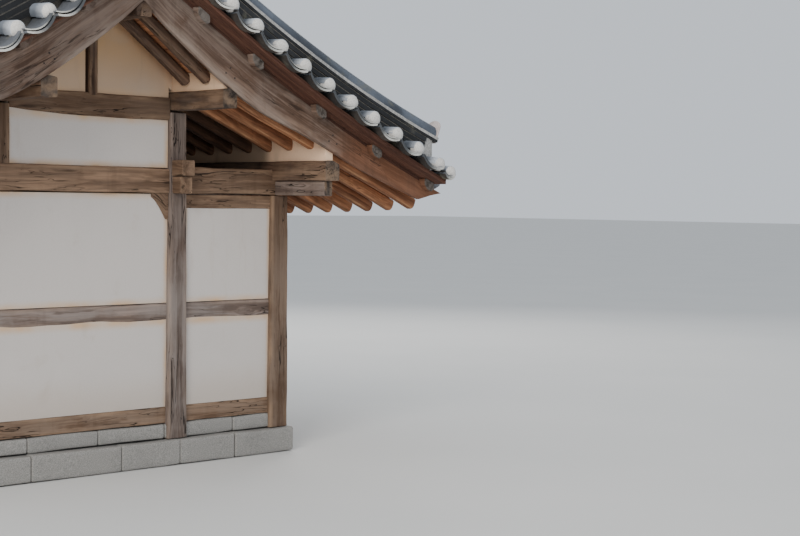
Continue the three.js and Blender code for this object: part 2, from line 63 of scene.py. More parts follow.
LOG = logging.getLogger("hanok")
BODY = "root"
SMOOTH_LIMIT = math.radians(38)
ACROSS, ALONG, UP = np.eye(3)
RIPPLE_SHARES = np.array([0.55, 0.3, 0.15])
RIPPLE_LENGTHS = 1.1 * np.array([1.0, 0.47, 0.21])


class Part(IntEnum):
    """The material slots of a piece made of more than one stuff."""

    BODY = 0
    END = 1
    TRIM = 2
    EXTRA = 3
    JOINT = 4


# Meshes in the making


@dataclass
class Form:
    """Points and faces, with the place in the stuff, a tone and a wear for each point.

    A face is four point numbers. The grain of a point is its place in metres along, across and
    through the stuff it is cut from.
    """

    points: Array
    faces: Array
    grain: Array
    tone: Array
    wear: Array
    paint: Array

    @staticmethod
    def merged(forms: list["Form"]) -> "Form":
        """One form out of several.

        Args:
            forms: the forms to join.

        Returns:
            The joined form, each part keeping its paint.
        """
        starts = np.cumsum([0] + [len(one.points) for one in forms[:-1]])
        faces = [one.faces + start for one, start in zip(forms, starts)]
        joined = {key: np.concatenate([getattr(one, key) for one in forms])
                  for key in ("points", "grain", "tone", "wear", "paint")}
        return Form(faces=np.concatenate(faces), **joined)

    def painted(self, part: Part) -> "Form":
        """The same form with every face in one material slot."""
        return replace(self, paint=np.full(len(self.faces), part))

    def tipped(self, beyond: Array, part: Part = Part.END) -> "Form":
        """The same form with the faces whose points all lie beyond a limit in another slot."""
        return replace(self, paint=np.where(beyond[self.faces].all(1), part, self.paint))

    def outward(self) -> "Form":
        """The same form with its faces turned out: the signed volume of a closed shape is positive."""
        a, b, c, d = (self.points[self.faces[:, k]] for k in range(4))
        volume = np.einsum("ij,ij->", a, np.cross(b, c)) + np.einsum("ij,ij->", a, np.cross(c, d))
        return self if volume >= 0 else replace(self, faces=self.faces[:, ::-1].copy())


def loft(rings: Array, grain: Array, tone: Values = 0.5, wear: Values = 0.0) -> Form:
    """Closes a grid of points into a solid.

    The surface is a function of the station and the place round the section. Each end is closed by
    a ladder of faces between the two halves of its ring.

    Args:
        rings: (m, n, 3) points, with n even.
        grain: (m, n, 3) places in the stuff.
        tone: a value that spreads over (m, n).
        wear: a value that spreads over (m, n).

    Returns:
        The closed form, its faces pointing out.
    """
    m, n = rings.shape[:2]
    i, j = np.meshgrid(np.arange(m - 1), np.arange(n), indexing="ij")
    k = (j + 1) % n
    faces = np.stack([i * n + j, i * n + k, (i + 1) * n + k, (i + 1) * n + j], axis=-1).reshape(-1, 4)
    rung = np.arange(n // 2 - 1)
    ladder = np.stack([rung, rung + 1, n - 2 - rung, n - 1 - rung], axis=-1)
    faces = np.concatenate([faces, ladder[:, ::-1], ladder + (m - 1) * n])
    tone, wear = (np.broadcast_to(value, (m, n)).astype(float).ravel() for value in (tone, wear))
    form = Form(rings.reshape(-1, 3), faces, grain.reshape(-1, 3), tone, wear, np.zeros(len(faces), int))
    return form.outward()


def place_in_stuff(rng: np.random.Generator) -> Array:
    """Where in the stuff a piece is cut: anywhere along the grain, and near the same place across it."""
    return rng.uniform(0, 9, 3) * (1, 0.02, 0.02)


def sweep(path: Array, section: Array, side: Array, up: Array, tone: Values = 0.5, seed: int = 0,
          wear: Values = 0.0) -> Form:
    """Carries a closed section along a path: a point is path + a * side + b * up.

    Args:
        path: (m, 3) places of the stations.
        section: (n, 2) or (m, n, 2) places (a, b) round the section, with n even.
        side: (3,) or (m, 3) direction of a.
        up: (3,) or (m, 3) direction of b.
        tone: a value that spreads over (m, n).
        seed: sets where in the stuff the piece is cut.
        wear: a value that spreads over (m, n).

    Returns:
        The closed form.
    """
    m = len(path)
    section = np.broadcast_to(section, (m,) + section.shape[-2:])
    n = section.shape[1]
    side, up = np.broadcast_to(side, (m, 3)), np.broadcast_to(up, (m, 3))
    rings = path[:, None] + section[..., :1] * side[:, None] + section[..., 1:] * up[:, None]
    run = np.concatenate([[0], np.cumsum(np.linalg.norm(np.diff(path, axis=0), axis=1))])
    grain = np.dstack([np.broadcast_to(run[:, None], (m, n)), section])
    return loft(rings, grain + place_in_stuff(np.random.default_rng(seed)), tone, wear)


def track(x: Values, y: Values, z: Values) -> Array:
    """The stations of a path: its three coordinates spread over one another."""
    return np.column_stack(np.broadcast_arrays(x, y, z))


def polar(turn: Array) -> Array:
    """Points of the unit circle at the given angles: (cos, sin)."""
    return np.column_stack([np.cos(turn), np.sin(turn)])


def circle(points: int) -> Array:
    """A closed ring of points on the unit circle."""
    return polar(np.linspace(0, 2 * math.pi, points, endpoint=False))


def grown(section: Array, sizes: Array) -> Array:
    """A section at several sizes, one for each station."""
    return sizes[:, None, None] * section[None]


def unit_ends(start: float, end: float, count: int, gap: float) -> Array:
    """Both ends of each of the equal units in a run, every unit shortened by a gap at both ends."""
    joints = np.linspace(start, end, count + 1)
    return np.stack([joints[:-1] + gap, joints[1:] - gap], 1).ravel()


def rounded_box(width: float, height: float, radius: float, steps: int = 3) -> Array:
    """A rectangle with round corners: each corner is a quarter circle about its own centre.

    Args:
        width: size across.
        height: size up.
        radius: radius of the corners, at most nearly half of the smaller size.
        steps: points in each corner.

    Returns:
        Points (4 * steps, 2).
    """
    radius = min(radius, width * 0.49, height * 0.49)
    turn = np.linspace(0, math.pi / 2, steps)
    corners = []
    for k, (sx, sy) in enumerate([(1, 1), (-1, 1), (-1, -1), (1, -1)]):
        centre = np.array([sx * (width / 2 - radius), sy * (height / 2 - radius)])
        corners.append(centre + radius * polar(turn + k * math.pi / 2))
    return np.concatenate(corners)


def squared(width: float, height: float, radius: float) -> tuple[Array, Array]:
    """A rectangle with round corners and a point a little way in from each, with the wear of each point.

    Args:
        width: size across.
        height: size up.
        radius: radius of the corners.

    Returns:
        Points (20, 2) and their wear, 1 on the corners and 0 on the sides.
    """
    inset = min(0.03, 0.3 * width, 0.3 * height)
    corners = rounded_box(width, height, radius).reshape(4, 3, 2)
    before, after = np.roll(corners, 1, 0)[:, 2:], np.roll(corners, -1, 0)[:, :1]
    back, ahead = (way / np.linalg.norm(way, axis=2, keepdims=True) * inset
                   for way in (before - corners[:, :1], after - corners[:, 2:]))
    rows = np.concatenate([corners[:, :1] + back, corners, corners[:, 2:] + ahead], axis=1)
    return rows.reshape(-1, 2), np.tile([0.0, 1.0, 1.0, 1.0, 0.0], 4)


def trough(width: float, depth: float, thickness: float, points: int = 6) -> Array:
    """A shallow arc, hollow side up: its depth falls off as the square of the place across."""
    top = np.linspace(-1, 1, points)[:, None] ** (1, 2) * (width / 2, depth) - (0, depth)
    return np.concatenate([top, top[::-1] - (0, thickness)])[::-1]


def flat_at(z: float) -> Height:
    """A height function that is the same everywhere."""
    return lambda gx, gy: np.full_like(gx, z)


def lifted(line: Height, rise: float) -> Height:
    """A height function moved up."""
    return lambda gx, gy: line(gx, gy) + rise


def slab(xs: Array, ys: Array, bottom: Height, top: Height, seed: int) -> Form:
    """A solid between two height functions: at each y its section is the top curve and the bottom one.

    Args:
        xs: places across.
        ys: places along.
        bottom: height of the underside.
        top: height of the upper side.
        seed: sets where in the stuff it is cut.

    Returns:
        The closed solid.
    """
    gx, gy = np.meshgrid(xs, ys)
    low, high = bottom(gx, gy), top(gx, gy)
    section = np.concatenate([np.dstack([gx, low]), np.dstack([gx, high])[:, ::-1]], axis=1)
    return sweep(track(0.0, ys, 0.0), section, ACROSS, UP, 0.5, seed)


def ripple(run: Array, rng: np.random.Generator, size: float) -> Array:
    """A slow wave along a run: three sines of random phase, whose sizes add up to the size given."""
    phases = rng.uniform(0, 2 * math.pi, 3)
    return size * (RIPPLE_SHARES * np.sin(run[:, None] * (2 * math.pi / RIPPLE_LENGTHS) + phases)).sum(1)


def axes(start: Array, end: Array) -> tuple[float, Array, Array, Array]:
    """The length of a straight timber and the directions along it, across it and out of its upper face.

    Args:
        start: centre of one end.
        end: centre of the other end.

    Returns:
        The length and three directions. Where the timber stands, across is X.
    """
    line = np.subtract(end, start)
    length = np.linalg.norm(line)
    along = line / length
    side = np.cross(ALONG if abs(along[2]) > 0.9 else UP, along)
    side /= np.linalg.norm(side)
    return length, along, side, np.cross(along, side)


@dataclass(frozen=True)
class Hewn:
    """How a timber is dressed: its corner radius, how far its faces wander, and how its ends are cut."""

    corner: float = 0.012
    wander: float = 0.004
    bow: float = 0.0
    taper: float = 0.0
    taper_share: float = 0.35
    nose: float = 0.006
    spread: float = 0.0
    step: float = 0.16
    pole_step: float = 0.3
    squareness: float = 3.4

    def bar(self, start: Array, end: Array, width: float, height: float, seed: int,
            tone: float | None = None) -> Form:
        """A squared timber from start to end, each of its faces a slow wave about its true plane.

        Args:
            start: centre of one end.
            end: centre of the other end.
            width: size across, along X where the timber stands.
            height: size up, along Y where the timber stands.
            seed: sets the waves and the grain.
            tone: how dark it is, from 0 to 1, or none for chance.

        Returns:
            The closed timber.
        """
        length, along, side, up = axes(start, end)
        rng = np.random.default_rng(seed)
        count = max(3, int(length / self.step))
        run = np.concatenate([[0], np.linspace(self.nose, length - self.nose, count), [length]])
        base, wear = squared(width, height, self.corner)
        section = np.repeat(base[None], len(run), 0)
        for axis, size in enumerate((width, height)):
            for sign in (1, -1):
                near = section[..., axis] * sign > size * 0.15
                wave = ripple(run, rng, self.wander) - self.wander
                section[..., axis] += np.where(near, sign * wave[:, None], 0)
        share = run / length
        rise = self.taper * np.clip(self.taper_share - share, 0, 1) / self.taper_share
        section[..., 1] += np.where(section[..., 1] < 0, rise[:, None], 0)
        inset = 1 + self.spread * (1 - share)
        inset[[0, -1]] *= 1 - self.nose / max(width, height) * 2
        path = start + run[:, None] * along + (self.bow * np.sin(math.pi * share))[:, None] * up
        tone = rng.uniform(0.2, 0.8) if tone is None else tone
        return sweep(path, section * inset[:, None, None], side, up, tone, seed, wear)

    def pole(self, start: Array, end: Array, diameter: float, seed: int, tone: float) -> Form:
        """A half-squared pole: a superellipse whose radius and centre wander slowly along its length.

        Args:
            start: centre of one end.
            end: centre of the other end.
            diameter: its size across the flats.
            seed: sets the waves and the grain.
            tone: how dark it is, from 0 to 1.

        Returns:
            The closed pole, with wear on its two lower edges.
        """
        length, along, side, up = axes(start, end)
        rng = np.random.default_rng(seed)
        run = np.linspace(0, length, max(4, int(length / self.pole_step)))
        angle = np.radians([0, 35, 70, 110, 145, 180, 205, 222, 231, 243, 262, 278, 297, 309, 318, 335])
        wear = np.array([0, 0, 0, 0, 0, 0, 0, 0.3, 1, 0.3, 0, 0, 0.3, 1, 0.3, 0])
        ring = polar(angle)
        ring *= (np.abs(ring) ** self.squareness).sum(1, keepdims=True) ** (-1 / self.squareness)
        radius = diameter / 2 - self.wander + ripple(run, rng, self.wander)
        path = start + run[:, None] * along + ripple(run, rng, self.wander)[:, None] * side
        return sweep(path, grown(ring, radius), side, up, tone, seed, wear)


def new_mesh(name: str, form: Form, smooth: bool) -> bpy.types.Mesh:
    """Puts a form into a mesh, with its grain, tone and wear as attributes.

    Args:
        name: the mesh's name.
        form: its points and faces.
        smooth: whether faces shade smoothly up to the smooth limit.

    Returns:
        The mesh, without materials.
    """
    mesh = bpy.data.meshes.new(name)
    count = len(form.faces)
    mesh.vertices.add(len(form.points))
    mesh.vertices.foreach_set("co", form.points.astype(np.float32).ravel())
    mesh.loops.add(4 * count)
    mesh.loops.foreach_set("vertex_index", form.faces.astype(np.int32).ravel())
    mesh.polygons.add(count)
    mesh.polygons.foreach_set("loop_start", np.arange(0, 4 * count, 4, dtype=np.int32))
    mesh.polygons.foreach_set("material_index", form.paint.astype(np.int32))
    mesh.polygons.foreach_set("use_smooth", np.full(count, smooth))
    mesh.update(calc_edges=True)
    mesh.validate()
    for key, kind, place in (("grain", "FLOAT_VECTOR", "vector"), ("tone", "FLOAT", "value"),
                             ("wear", "FLOAT", "value")):
        carried = mesh.attributes.new(key, kind, "POINT")
        carried.data.foreach_set(place, getattr(form, key).astype(np.float32).ravel())
    if smooth:
        mesh.set_sharp_from_angle(angle=SMOOTH_LIMIT)
    return mesh


# Finishes


def colour_of(value: object) -> object:
    """Three numbers as a colour with alpha; a socket as it is."""
    return (*value, 1.0) if isinstance(value, tuple) and len(value) == 3 else value


def scaled(colour: Colour, share: float) -> Colour:
    """A colour made lighter or darker."""
    return tuple(min(1.0, part * share) for part in colour)


class Graph:
    """A short way to write shader nodes."""

    def __init__(self, tree: bpy.types.NodeTree) -> None:
        """Starts on a node tree."""
        self.tree = tree

    def node(self, kind: str, inputs: dict | None = None, **settings: object) -> bpy.types.Node:
        """A new node.

        Args:
            kind: its type.
            inputs: what its inputs are set to.
            settings: its properties.

        Returns:
            The node.
        """
        made = self.tree.nodes.new(kind)
        for key, value in settings.items():
            setattr(made, key, value)
        self.feed(made, inputs or {})
        return made

    def feed(self, node: bpy.types.Node, inputs: dict) -> None:
        """Sets a node's inputs.

        Args:
            node: the node.
            inputs: for the name or number of an input, the socket that feeds it or its value.
        """
        for key, value in inputs.items():
            if isinstance(value, Socket):
                self.tree.links.new(value, node.inputs[key])
            else:
                node.inputs[key].default_value = value

    def noise(self, vector: Socket, scale: object, detail: float = 4.0, rough: float = 0.55,
              twist: float = 0.0) -> Socket:
        """Noise from 0 to 1."""
        values = {"Vector": vector, "Scale": scale, "Detail": detail, "Roughness": rough, "Distortion": twist}
        return self.node("ShaderNodeTexNoise", values).outputs[0]

    def step(self, kind: str, a: object, b: object = 0.0) -> Socket:
        """One step of arithmetic."""
        return self.node("ShaderNodeMath", {0: a, 1: b}, operation=kind).outputs[0]

    def times(self, a: object, b: object) -> Socket:
        """The product of two values."""
        return self.step("MULTIPLY", a, b)

    def plus(self, a: object, b: object) -> Socket:
        """The sum of two values."""
        return self.step("ADD", a, b)

    def size(self, value: object, centre: float = 0.0) -> Socket:
        """How far a value is from a centre, either way."""
        return self.step("ABSOLUTE", self.step("SUBTRACT", value, centre) if centre else value)

    def span(self, value: Socket, low: float, high: float, to_low: float = 0.0,
             to_high: float = 1.0) -> Socket:
        """The value's place between two limits, clamped, eased and brought between two others."""
        values = {"Value": value, "From Min": low, "From Max": high, "To Min": to_low, "To Max": to_high}
        return self.node("ShaderNodeMapRange", values, interpolation_type="SMOOTHSTEP").outputs[0]

    def mix(self, share: object, a: object, b: object) -> Socket:
        """A colour between two."""
        values = {0: share, 6: colour_of(a), 7: colour_of(b)}
        return self.node("ShaderNodeMix", values, data_type="RGBA").outputs[2]

    def layered(self, colour: object, *layers: tuple[object, object]) -> Socket:
        """A colour with others mixed over it in turn.

        Args:
            colour: the colour at the bottom.
            layers: for each layer, its share and its colour.

        Returns:
            The socket of the result.
        """
        for share, over in layers:
            colour = self.mix(share, colour, over)
        return colour

    def stretch(self, vector: Socket, scale: tuple[float, float, float]) -> Socket:
        """The vector scaled along each axis."""
        return self.node("ShaderNodeMapping", {"Vector": vector, "Scale": scale}).outputs[0]

    def split(self, vector: Socket) -> object:
        """The three parts of a vector."""
        return self.node("ShaderNodeSeparateXYZ", {0: vector}).outputs

    def shared(self, group: bpy.types.NodeTree, inputs: dict) -> object:
        """The outputs of a shared effect placed in this tree."""
        return self.node("ShaderNodeGroup", inputs, node_tree=group).outputs

    def carried(self, name: str, kind: str = "Fac") -> Socket:
        """A value carried by the mesh."""
        return self.node("ShaderNodeAttribute", None, attribute_name=name).outputs[kind]

    def place(self) -> Socket:
        """The place on the object, in metres."""
        return self.node("ShaderNodeTexCoord").outputs["Object"]


def new_effect(name: str, inputs: dict[str, str], outputs: tuple[str, ...]) -> Graph:
    """An empty shared effect with named sockets.

    Args:
        name: the effect's name.
        inputs: socket types by name.
        outputs: names of the values that it puts out.

    Returns:
        A graph on the new group.
    """
    group = bpy.data.node_groups.new(name, "ShaderNodeTree")
    for key, kind in inputs.items():
        group.interface.new_socket(key, in_out="INPUT", socket_type=f"NodeSocket{kind}")
    for key in outputs:
        group.interface.new_socket(key, in_out="OUTPUT", socket_type="NodeSocketFloat")
    return Graph(group)


class Effects:
    """The shared effects: wood figure, weather and fine speckle."""

    def __init__(self) -> None:
        """Builds the three groups."""
        self._make_figure()
        self._make_weather()
        self._make_speckle()

    def _make_figure(self) -> None:
        """Wood figure: rings round the heart drawn out along the grain, streaks, fibres, checks and knots."""
        g = new_effect("wood_figure", {"Grain": "Vector"},
                       ("Lines", "Streak", "Fibre", "Checks", "Knots", "Height"))
        enter = g.node("NodeGroupInput").outputs["Grain"]
        cells = g.node("ShaderNodeTexVoronoi", {"Vector": g.stretch(enter, (1.15, 7.0, 7.0)), "Scale": 1.0,
                                                "Randomness": 1.0}).outputs
        rare = g.span(g.node("ShaderNodeSeparateColor", {0: cells["Color"]}).outputs[0], 0.52, 0.56)
        near = g.times(g.span(cells["Distance"], 0.03, 0.34, 1.0, 0.0), rare)
        slow = g.noise(g.stretch(enter, (0.9, 5.0, 5.0)), 1.6, 3.0, 0.5)
        shift = g.plus(g.span(slow, 0, 1, -0.05, 0.05), g.times(near, 0.03))
        bend = g.node("ShaderNodeCombineXYZ", {"Y": shift, "Z": shift}).outputs[0]
        bent = g.node("ShaderNodeVectorMath", {0: enter, 1: bend}, operation="ADD").outputs[0]
        rings = g.node("ShaderNodeTexWave", {"Vector": g.stretch(bent, (0.3, 9.0, 9.0)), "Scale": 1.0,
                                             "Distortion": 4.5, "Detail": 4.0, "Detail Scale": 1.6},
                       wave_type="RINGS", rings_direction="X").outputs[1]
        lines = g.span(rings, 0.1, 0.95)
        streak = g.span(g.noise(g.stretch(bent, (0.55, 17.0, 17.0)), 1.0, 5.0, 0.62), 0.33, 0.67)
        fibre = g.noise(g.stretch(enter, (2.2, 95.0, 95.0)), 1.0, 5.0, 0.65)
        cracks = g.noise(g.stretch(bent, (0.7, 20.0, 20.0)), 1.0, 2.0, 0.5, 0.5)
        where = g.span(g.noise(g.stretch(enter, (0.7, 4.0, 4.0)), 1.3, 2.0), 0.46, 0.58)
        checks = g.times(g.span(g.size(cracks, 0.5), 0.003, 0.022, 1.0, 0.0), where)
        knots = g.times(g.span(cells["Distance"], 0.05, 0.15, 1.0, 0.0), rare)
        height = g.plus(g.plus(g.times(lines, 0.3), g.times(fibre, 0.5)), g.times(streak, 0.5))
        height = g.step("SUBTRACT", height, g.times(checks, 1.8))
        g.node("NodeGroupOutput", {"Lines": lines, "Streak": streak, "Fibre": fibre, "Checks": checks,
                                   "Knots": knots, "Height": height})
        self.figure = g.tree

    def _make_weather(self) -> None:
        """Weather: broad clouds, streaks that run down, and how low, and how far indoors, a place is."""
        g = new_effect("weather", {"Place": "Vector"}, ("Cloud", "Streak", "Low", "Indoors"))
        enter = g.node("NodeGroupInput").outputs["Place"]
        cloud = g.noise(enter, 1.3, 5.0, 0.6, 0.4)
        streak = g.noise(g.stretch(enter, (7.0, 7.0, 0.9)), 1.0, 4.0, 0.6)
        x, y, z = g.split(enter)
        # How far indoors a place is: the finishes darken it there as painted shade.
        indoors = g.times(g.span(g.size(x), 2.08, 2.3, 1.0, 0.0), g.span(g.size(y), 2.86, 3.02, 1.0, 0.0))
        g.node("NodeGroupOutput", {"Cloud": cloud, "Streak": streak, "Low": g.span(z, 1.2, 2.8, 1.0, 0.0),
                                   "Indoors": indoors})
        self.weather = g.tree

    def _make_speckle(self) -> None:
        """Fine speckle: trowel marks or grit at a scale of its own, in patches."""
        g = new_effect("speckle", {"Place": "Vector", "Scale": "Float"}, ("Grit", "Patch"))
        enter = g.node("NodeGroupInput").outputs
        g.node("NodeGroupOutput", {"Grit": g.noise(enter["Place"], enter["Scale"], 6.0, 0.7),
                                   "Patch": g.noise(enter["Place"], 5.0, 3.0, 0.5, 0.3)})
        self.speckle = g.tree


def new_material(name: str) -> tuple[bpy.types.Material, Graph, bpy.types.Node]:
    """An empty material.

    Args:
        name: the material's name.

    Returns:
        The material, a graph on it and its shader.
    """
    material = bpy.data.materials.new(name)
    material.use_nodes = True
    return material, Graph(material.node_tree), material.node_tree.nodes["Principled BSDF"]


def dress(g: Graph, shader: bpy.types.Node, colour: Socket, rough: Socket, height: Socket, depth: float,
          strength: float = 0.6) -> None:
    """Feeds a shader its colour and roughness, and a bump of some height, depth in metres and strength."""
    bump = g.node("ShaderNodeBump", {"Height": height, "Distance": depth, "Strength": strength}).outputs[0]
    g.feed(shader, {"Base Color": colour, "Roughness": rough, "Normal": bump})


@dataclass(frozen=True)
class TimberFinish:
    """Bare wood, from fresh to silvered. Colours are linear."""

    name: str
    light: Colour
    dark: Colour
    silver: Colour = (0.20, 0.17, 0.145)
    fresh: Colour = (0.33, 0.215, 0.135)
    silvering: float = 0.5
    sheltered: float = 0.35
    worn: float = 0.55
    checks: float = 0.9
    # How far timber indoors is darkened as painted shade.
    indoor_shade: float = 0.0
    depth: float = 0.004
    warm_from: float = 9.0
    warm_over: float = 0.6
    warm: Colour = (0.22, 0.094, 0.048)
    black: Colour = (0.012, 0.009, 0.007)
    shine: float = 0.25

    def build(self, effects: Effects) -> bpy.types.Material:
        """The material: figure over a tone for each timber, silver in clouds, worn edges, checks darkest, and
        painted shade indoors.

        Args:
            effects: the shared effects.

        Returns:
            The material.
        """
        material, g, shader = new_material(self.name)
        grain, tone, wear = g.carried("grain", "Vector"), g.carried("tone"), g.carried("wear")
        figure = g.shared(effects.figure, {"Grain": grain})
        weather = g.shared(effects.weather, {"Place": g.place()})
        cloud = g.span(g.plus(weather["Cloud"], g.times(figure["Streak"], 0.25)), 0.42, 0.82)
        grey = g.times(cloud, g.span(weather["Low"], 0, 1, self.sheltered, 1.0))
        edge = g.times(wear, g.span(g.noise(g.stretch(grain, (2.5, 9.0, 9.0)), 1.0, 3.0), 0.35, 0.7))
        away = g.plus(g.size(g.split(g.place())[0]), g.span(weather["Cloud"], 0.3, 0.7, -0.25, 0.25))
        warm = g.mix(figure["Streak"], scaled(self.warm, 0.6), self.warm)
        wood = g.layered(
            g.mix(figure["Streak"], self.dark, self.light),
            (g.times(figure["Lines"], 0.42), scaled(self.dark, 0.8)),
            (g.span(figure["Fibre"], 0.3, 0.72, 0.0, 0.4), scaled(self.dark, 0.6)),
            (g.span(tone, 0, 1, 0.0, 0.75), scaled(self.dark, 0.62)),
            (g.times(grey, self.silvering), self.silver),
            (g.times(edge, self.worn), self.fresh),
            (g.span(away, self.warm_from, self.warm_from + self.warm_over, 0.0, 0.85), warm),
            (g.span(weather["Streak"], 0.52, 0.75, 0.0, 0.3), scaled(self.dark, 0.5)),
            (g.times(figure["Knots"], 0.8), scaled(self.dark, 0.35)),
            (g.times(figure["Checks"], self.checks), scaled(self.dark, 0.14)),
            # Painted shade: timber indoors darkened, standing in for the shade inside the house.
            (g.times(weather["Indoors"], self.indoor_shade), self.black))
        dress(g, shader, wood, g.span(figure["Fibre"], 0.2, 0.8, 0.72, 0.95), figure["Height"], self.depth)
        shader.inputs["Specular IOR Level"].default_value = self.shine
        return material


@dataclass(frozen=True)
class PlasterFinish:
    """Lime plaster, grey-white outside and turned warm brown under the roof by painted warm shade. Colours
    are linear.

    The rims are bands beside the timbers: beams and rails by their heights, posts by their places
    across and the height that they start from.
    """

    name: str
    base: Colour = (0.575, 0.53, 0.495)
    painted_shade_beige: Colour = (0.52, 0.365, 0.245)
    painted_shade_tan: Colour = (0.55, 0.335, 0.155)
    stain: Colour = (0.36, 0.27, 0.18)
    rim: Colour = (0.60, 0.40, 0.235)
    black: Colour = (0.03, 0.022, 0.016)
    # Painted warm shade under the roof: the heights where it starts and where it deepens.
    painted_shade_beige_from: float = 3.33
    painted_shade_tan_from: float = 3.55
    painted_shade_tan_to: float = 4.15
    # How far plaster indoors is darkened as painted shade.
    indoor_shade: float = 0.0
    grit: float = 60.0
    beam_rim: float = 0.075
    post_rim: float = 0.05
    beams: tuple[float, ...] = (2.60, 2.85, 3.30, 3.52)
    rails: tuple[float, ...] = (1.385, 1.56)
    posts: tuple[tuple[float, float], ...] = ((-2.09, 0.0), (-0.86, 2.7), (-0.10, 3.4), (0.84, 0.0),
                                              (1.05, 0.0), (2.09, 0.0))

    def build(self, effects: Effects) -> bpy.types.Material:
        """The material: base to warm brown with height as painted warm shade under the roof, rims beside the
        timbers, faint clouds, rusty drips and painted shade indoors.

        Args:
            effects: the shared effects.

        Returns:
            The material.
        """
        material, g, shader = new_material(self.name)
        place = g.place()
        weather = g.shared(effects.weather, {"Place": place})
        speckle = g.shared(effects.speckle, {"Place": place, "Scale": self.grit})
        height = g.plus(g.split(place)[2], g.span(weather["Cloud"], 0, 1, -0.12, 0.12))
        spots = g.noise(g.stretch(place, (1.3, 1.3, 0.8)), 1.0, 3.0, 0.6, 0.5)
        wall = g.layered(
            self.base,
            # Painted warm shade under the roof, warmer and darker with height.
            (g.span(height, self.painted_shade_beige_from, self.painted_shade_beige_from + 0.1), self.painted_shade_beige),
            (g.span(height, self.painted_shade_tan_from, self.painted_shade_tan_to), self.painted_shade_tan),
            (self._rims(g, place), self.rim),
            (g.span(weather["Cloud"], 0.45, 0.8, 0.0, 0.3), scaled(self.base, 0.82)),
            (g.span(spots, 0.60, 0.74, 0.0, 0.5), self.stain),
            (g.span(speckle["Patch"], 0.62, 0.8, 0.0, 0.15), self.stain),
            (g.span(weather["Streak"], 0.6, 0.8, 0.0, 0.25), self.stain),
            (g.span(speckle["Grit"], 0.3, 0.7, 0.0, 0.12), scaled(self.base, 0.6)),
            (g.span(height, 0.55, 1.0, 0.35, 0.0), self.stain),
            # Painted shade: plaster indoors darkened.
            (g.times(weather["Indoors"], self.indoor_shade), self.black))
        bumps = g.plus(g.times(speckle["Grit"], 0.3), speckle["Patch"])
        dress(g, shader, wall, g.span(speckle["Grit"], 0.3, 0.7, 0.85, 0.98), bumps, 0.004, 0.5)
        return material

    def _rims(self, g: Graph, place: Socket) -> Socket:
        """Where a rim shows beside a timber: the greatest of all the bands, broken up by noise.

        Args:
            g: the material's graph.
            place: the place on the house.

        Returns:
            The socket of the mask.
        """
        x, y, z = g.split(place)
        at_gable = g.span(g.size(y), 2.9, 2.95)
        railed = g.step("MAXIMUM", g.span(g.size(y), 3.0, 3.02), g.span(x, -2.21, -2.19, 1.0, 0.0))
        bands = [self._band(g, z, beam, self.beam_rim) for beam in self.beams]
        bands += [g.times(self._band(g, z, rail, self.beam_rim), railed) for rail in self.rails]
        for post, foot in self.posts:
            beside = g.times(self._band(g, x, post, self.post_rim), g.span(z, foot, foot + 0.02))
            bands.append(g.times(beside, at_gable))
        mask = bands[0]
        for band in bands[1:]:
            mask = g.step("MAXIMUM", mask, band)
        return g.times(mask, g.span(g.noise(place, 2.6, 3.0), 0.36, 0.66, 0.4, 1.0))

    @staticmethod
    def _band(g: Graph, value: Socket, centre: float, width: float) -> Socket:
        """1 where the value is at the centre, fading to 0 over the width on both sides."""
        return g.span(g.size(value, centre), 0.0, width, 1.0, 0.0)


@dataclass(frozen=True)
class TileFinish:
    """Fired clay, dark grey with a pale bloom and a little lichen. Colours are linear."""

    name: str
    dark: Colour = (0.045, 0.05, 0.058)
    pale: Colour = (0.21, 0.225, 0.25)
    lichen: Colour = (0.17, 0.16, 0.11)
    bloom: float = 0.5
    spread: float = 0.22
    grit: float = 90.0

    def build(self, effects: Effects) -> bpy.types.Material:
        """The material: a tone for each tile, bloom in clouds, lichen in patches, grit as bump.

        Args:
            effects: the shared effects.

        Returns:
            The material.
        """
        material, g, shader = new_material(self.name)
        place = g.place()
        cloud = g.shared(effects.weather, {"Place": place})["Cloud"]
        speckle = g.shared(effects.speckle, {"Place": place, "Scale": self.grit})
        grit = speckle["Grit"]
        share = g.plus(g.span(g.carried("tone"), 0, 1, -self.spread, self.spread),
                       g.span(cloud, 0.3, 0.7, -0.25, 0.25))
        share = g.plus(g.plus(share, g.span(grit, 0.3, 0.7, -0.12, 0.12)), self.bloom)
        clay = g.layered(self.dark, (g.span(share, 0, 1), self.pale),
                         (g.span(speckle["Patch"], 0.58, 0.74, 0.0, 0.45), self.lichen))
        dress(g, shader, clay, g.span(grit, 0.3, 0.7, 0.55, 0.85), grit, 0.003, 0.5)
        return material


@dataclass(frozen=True)
class MineralFinish:
    """Mortar, stone, earth or rusty iron. Colours are linear."""

    name: str
    light: Colour
    dark: Colour
    grit: float = 120.0
    depth: float = 0.004

    def build(self, effects: Effects) -> bpy.types.Material:
        """The material: speckled grit, stained in clouds, with a tone for each block.

        Args:
            effects: the shared effects.

        Returns:
            The material.
        """
        material, g, shader = new_material(self.name)
        place = g.place()
        cloud = g.shared(effects.weather, {"Place": place})["Cloud"]
        speckle = g.shared(effects.speckle, {"Place": place, "Scale": self.grit})
        grit = speckle["Grit"]
        stuff = g.layered(self.dark, (g.span(grit, 0.35, 0.65), self.light),
                          (g.span(g.carried("tone"), 0, 1, 0.0, 0.3), self.dark),
                          (g.span(cloud, 0.5, 0.8, 0.0, 0.5), scaled(self.dark, 0.6)))
        bumps = g.plus(g.times(grit, 0.5), speckle["Patch"])
        dress(g, shader, stuff, g.span(grit, 0.3, 0.7, 0.8, 0.97), bumps, self.depth)
        return material


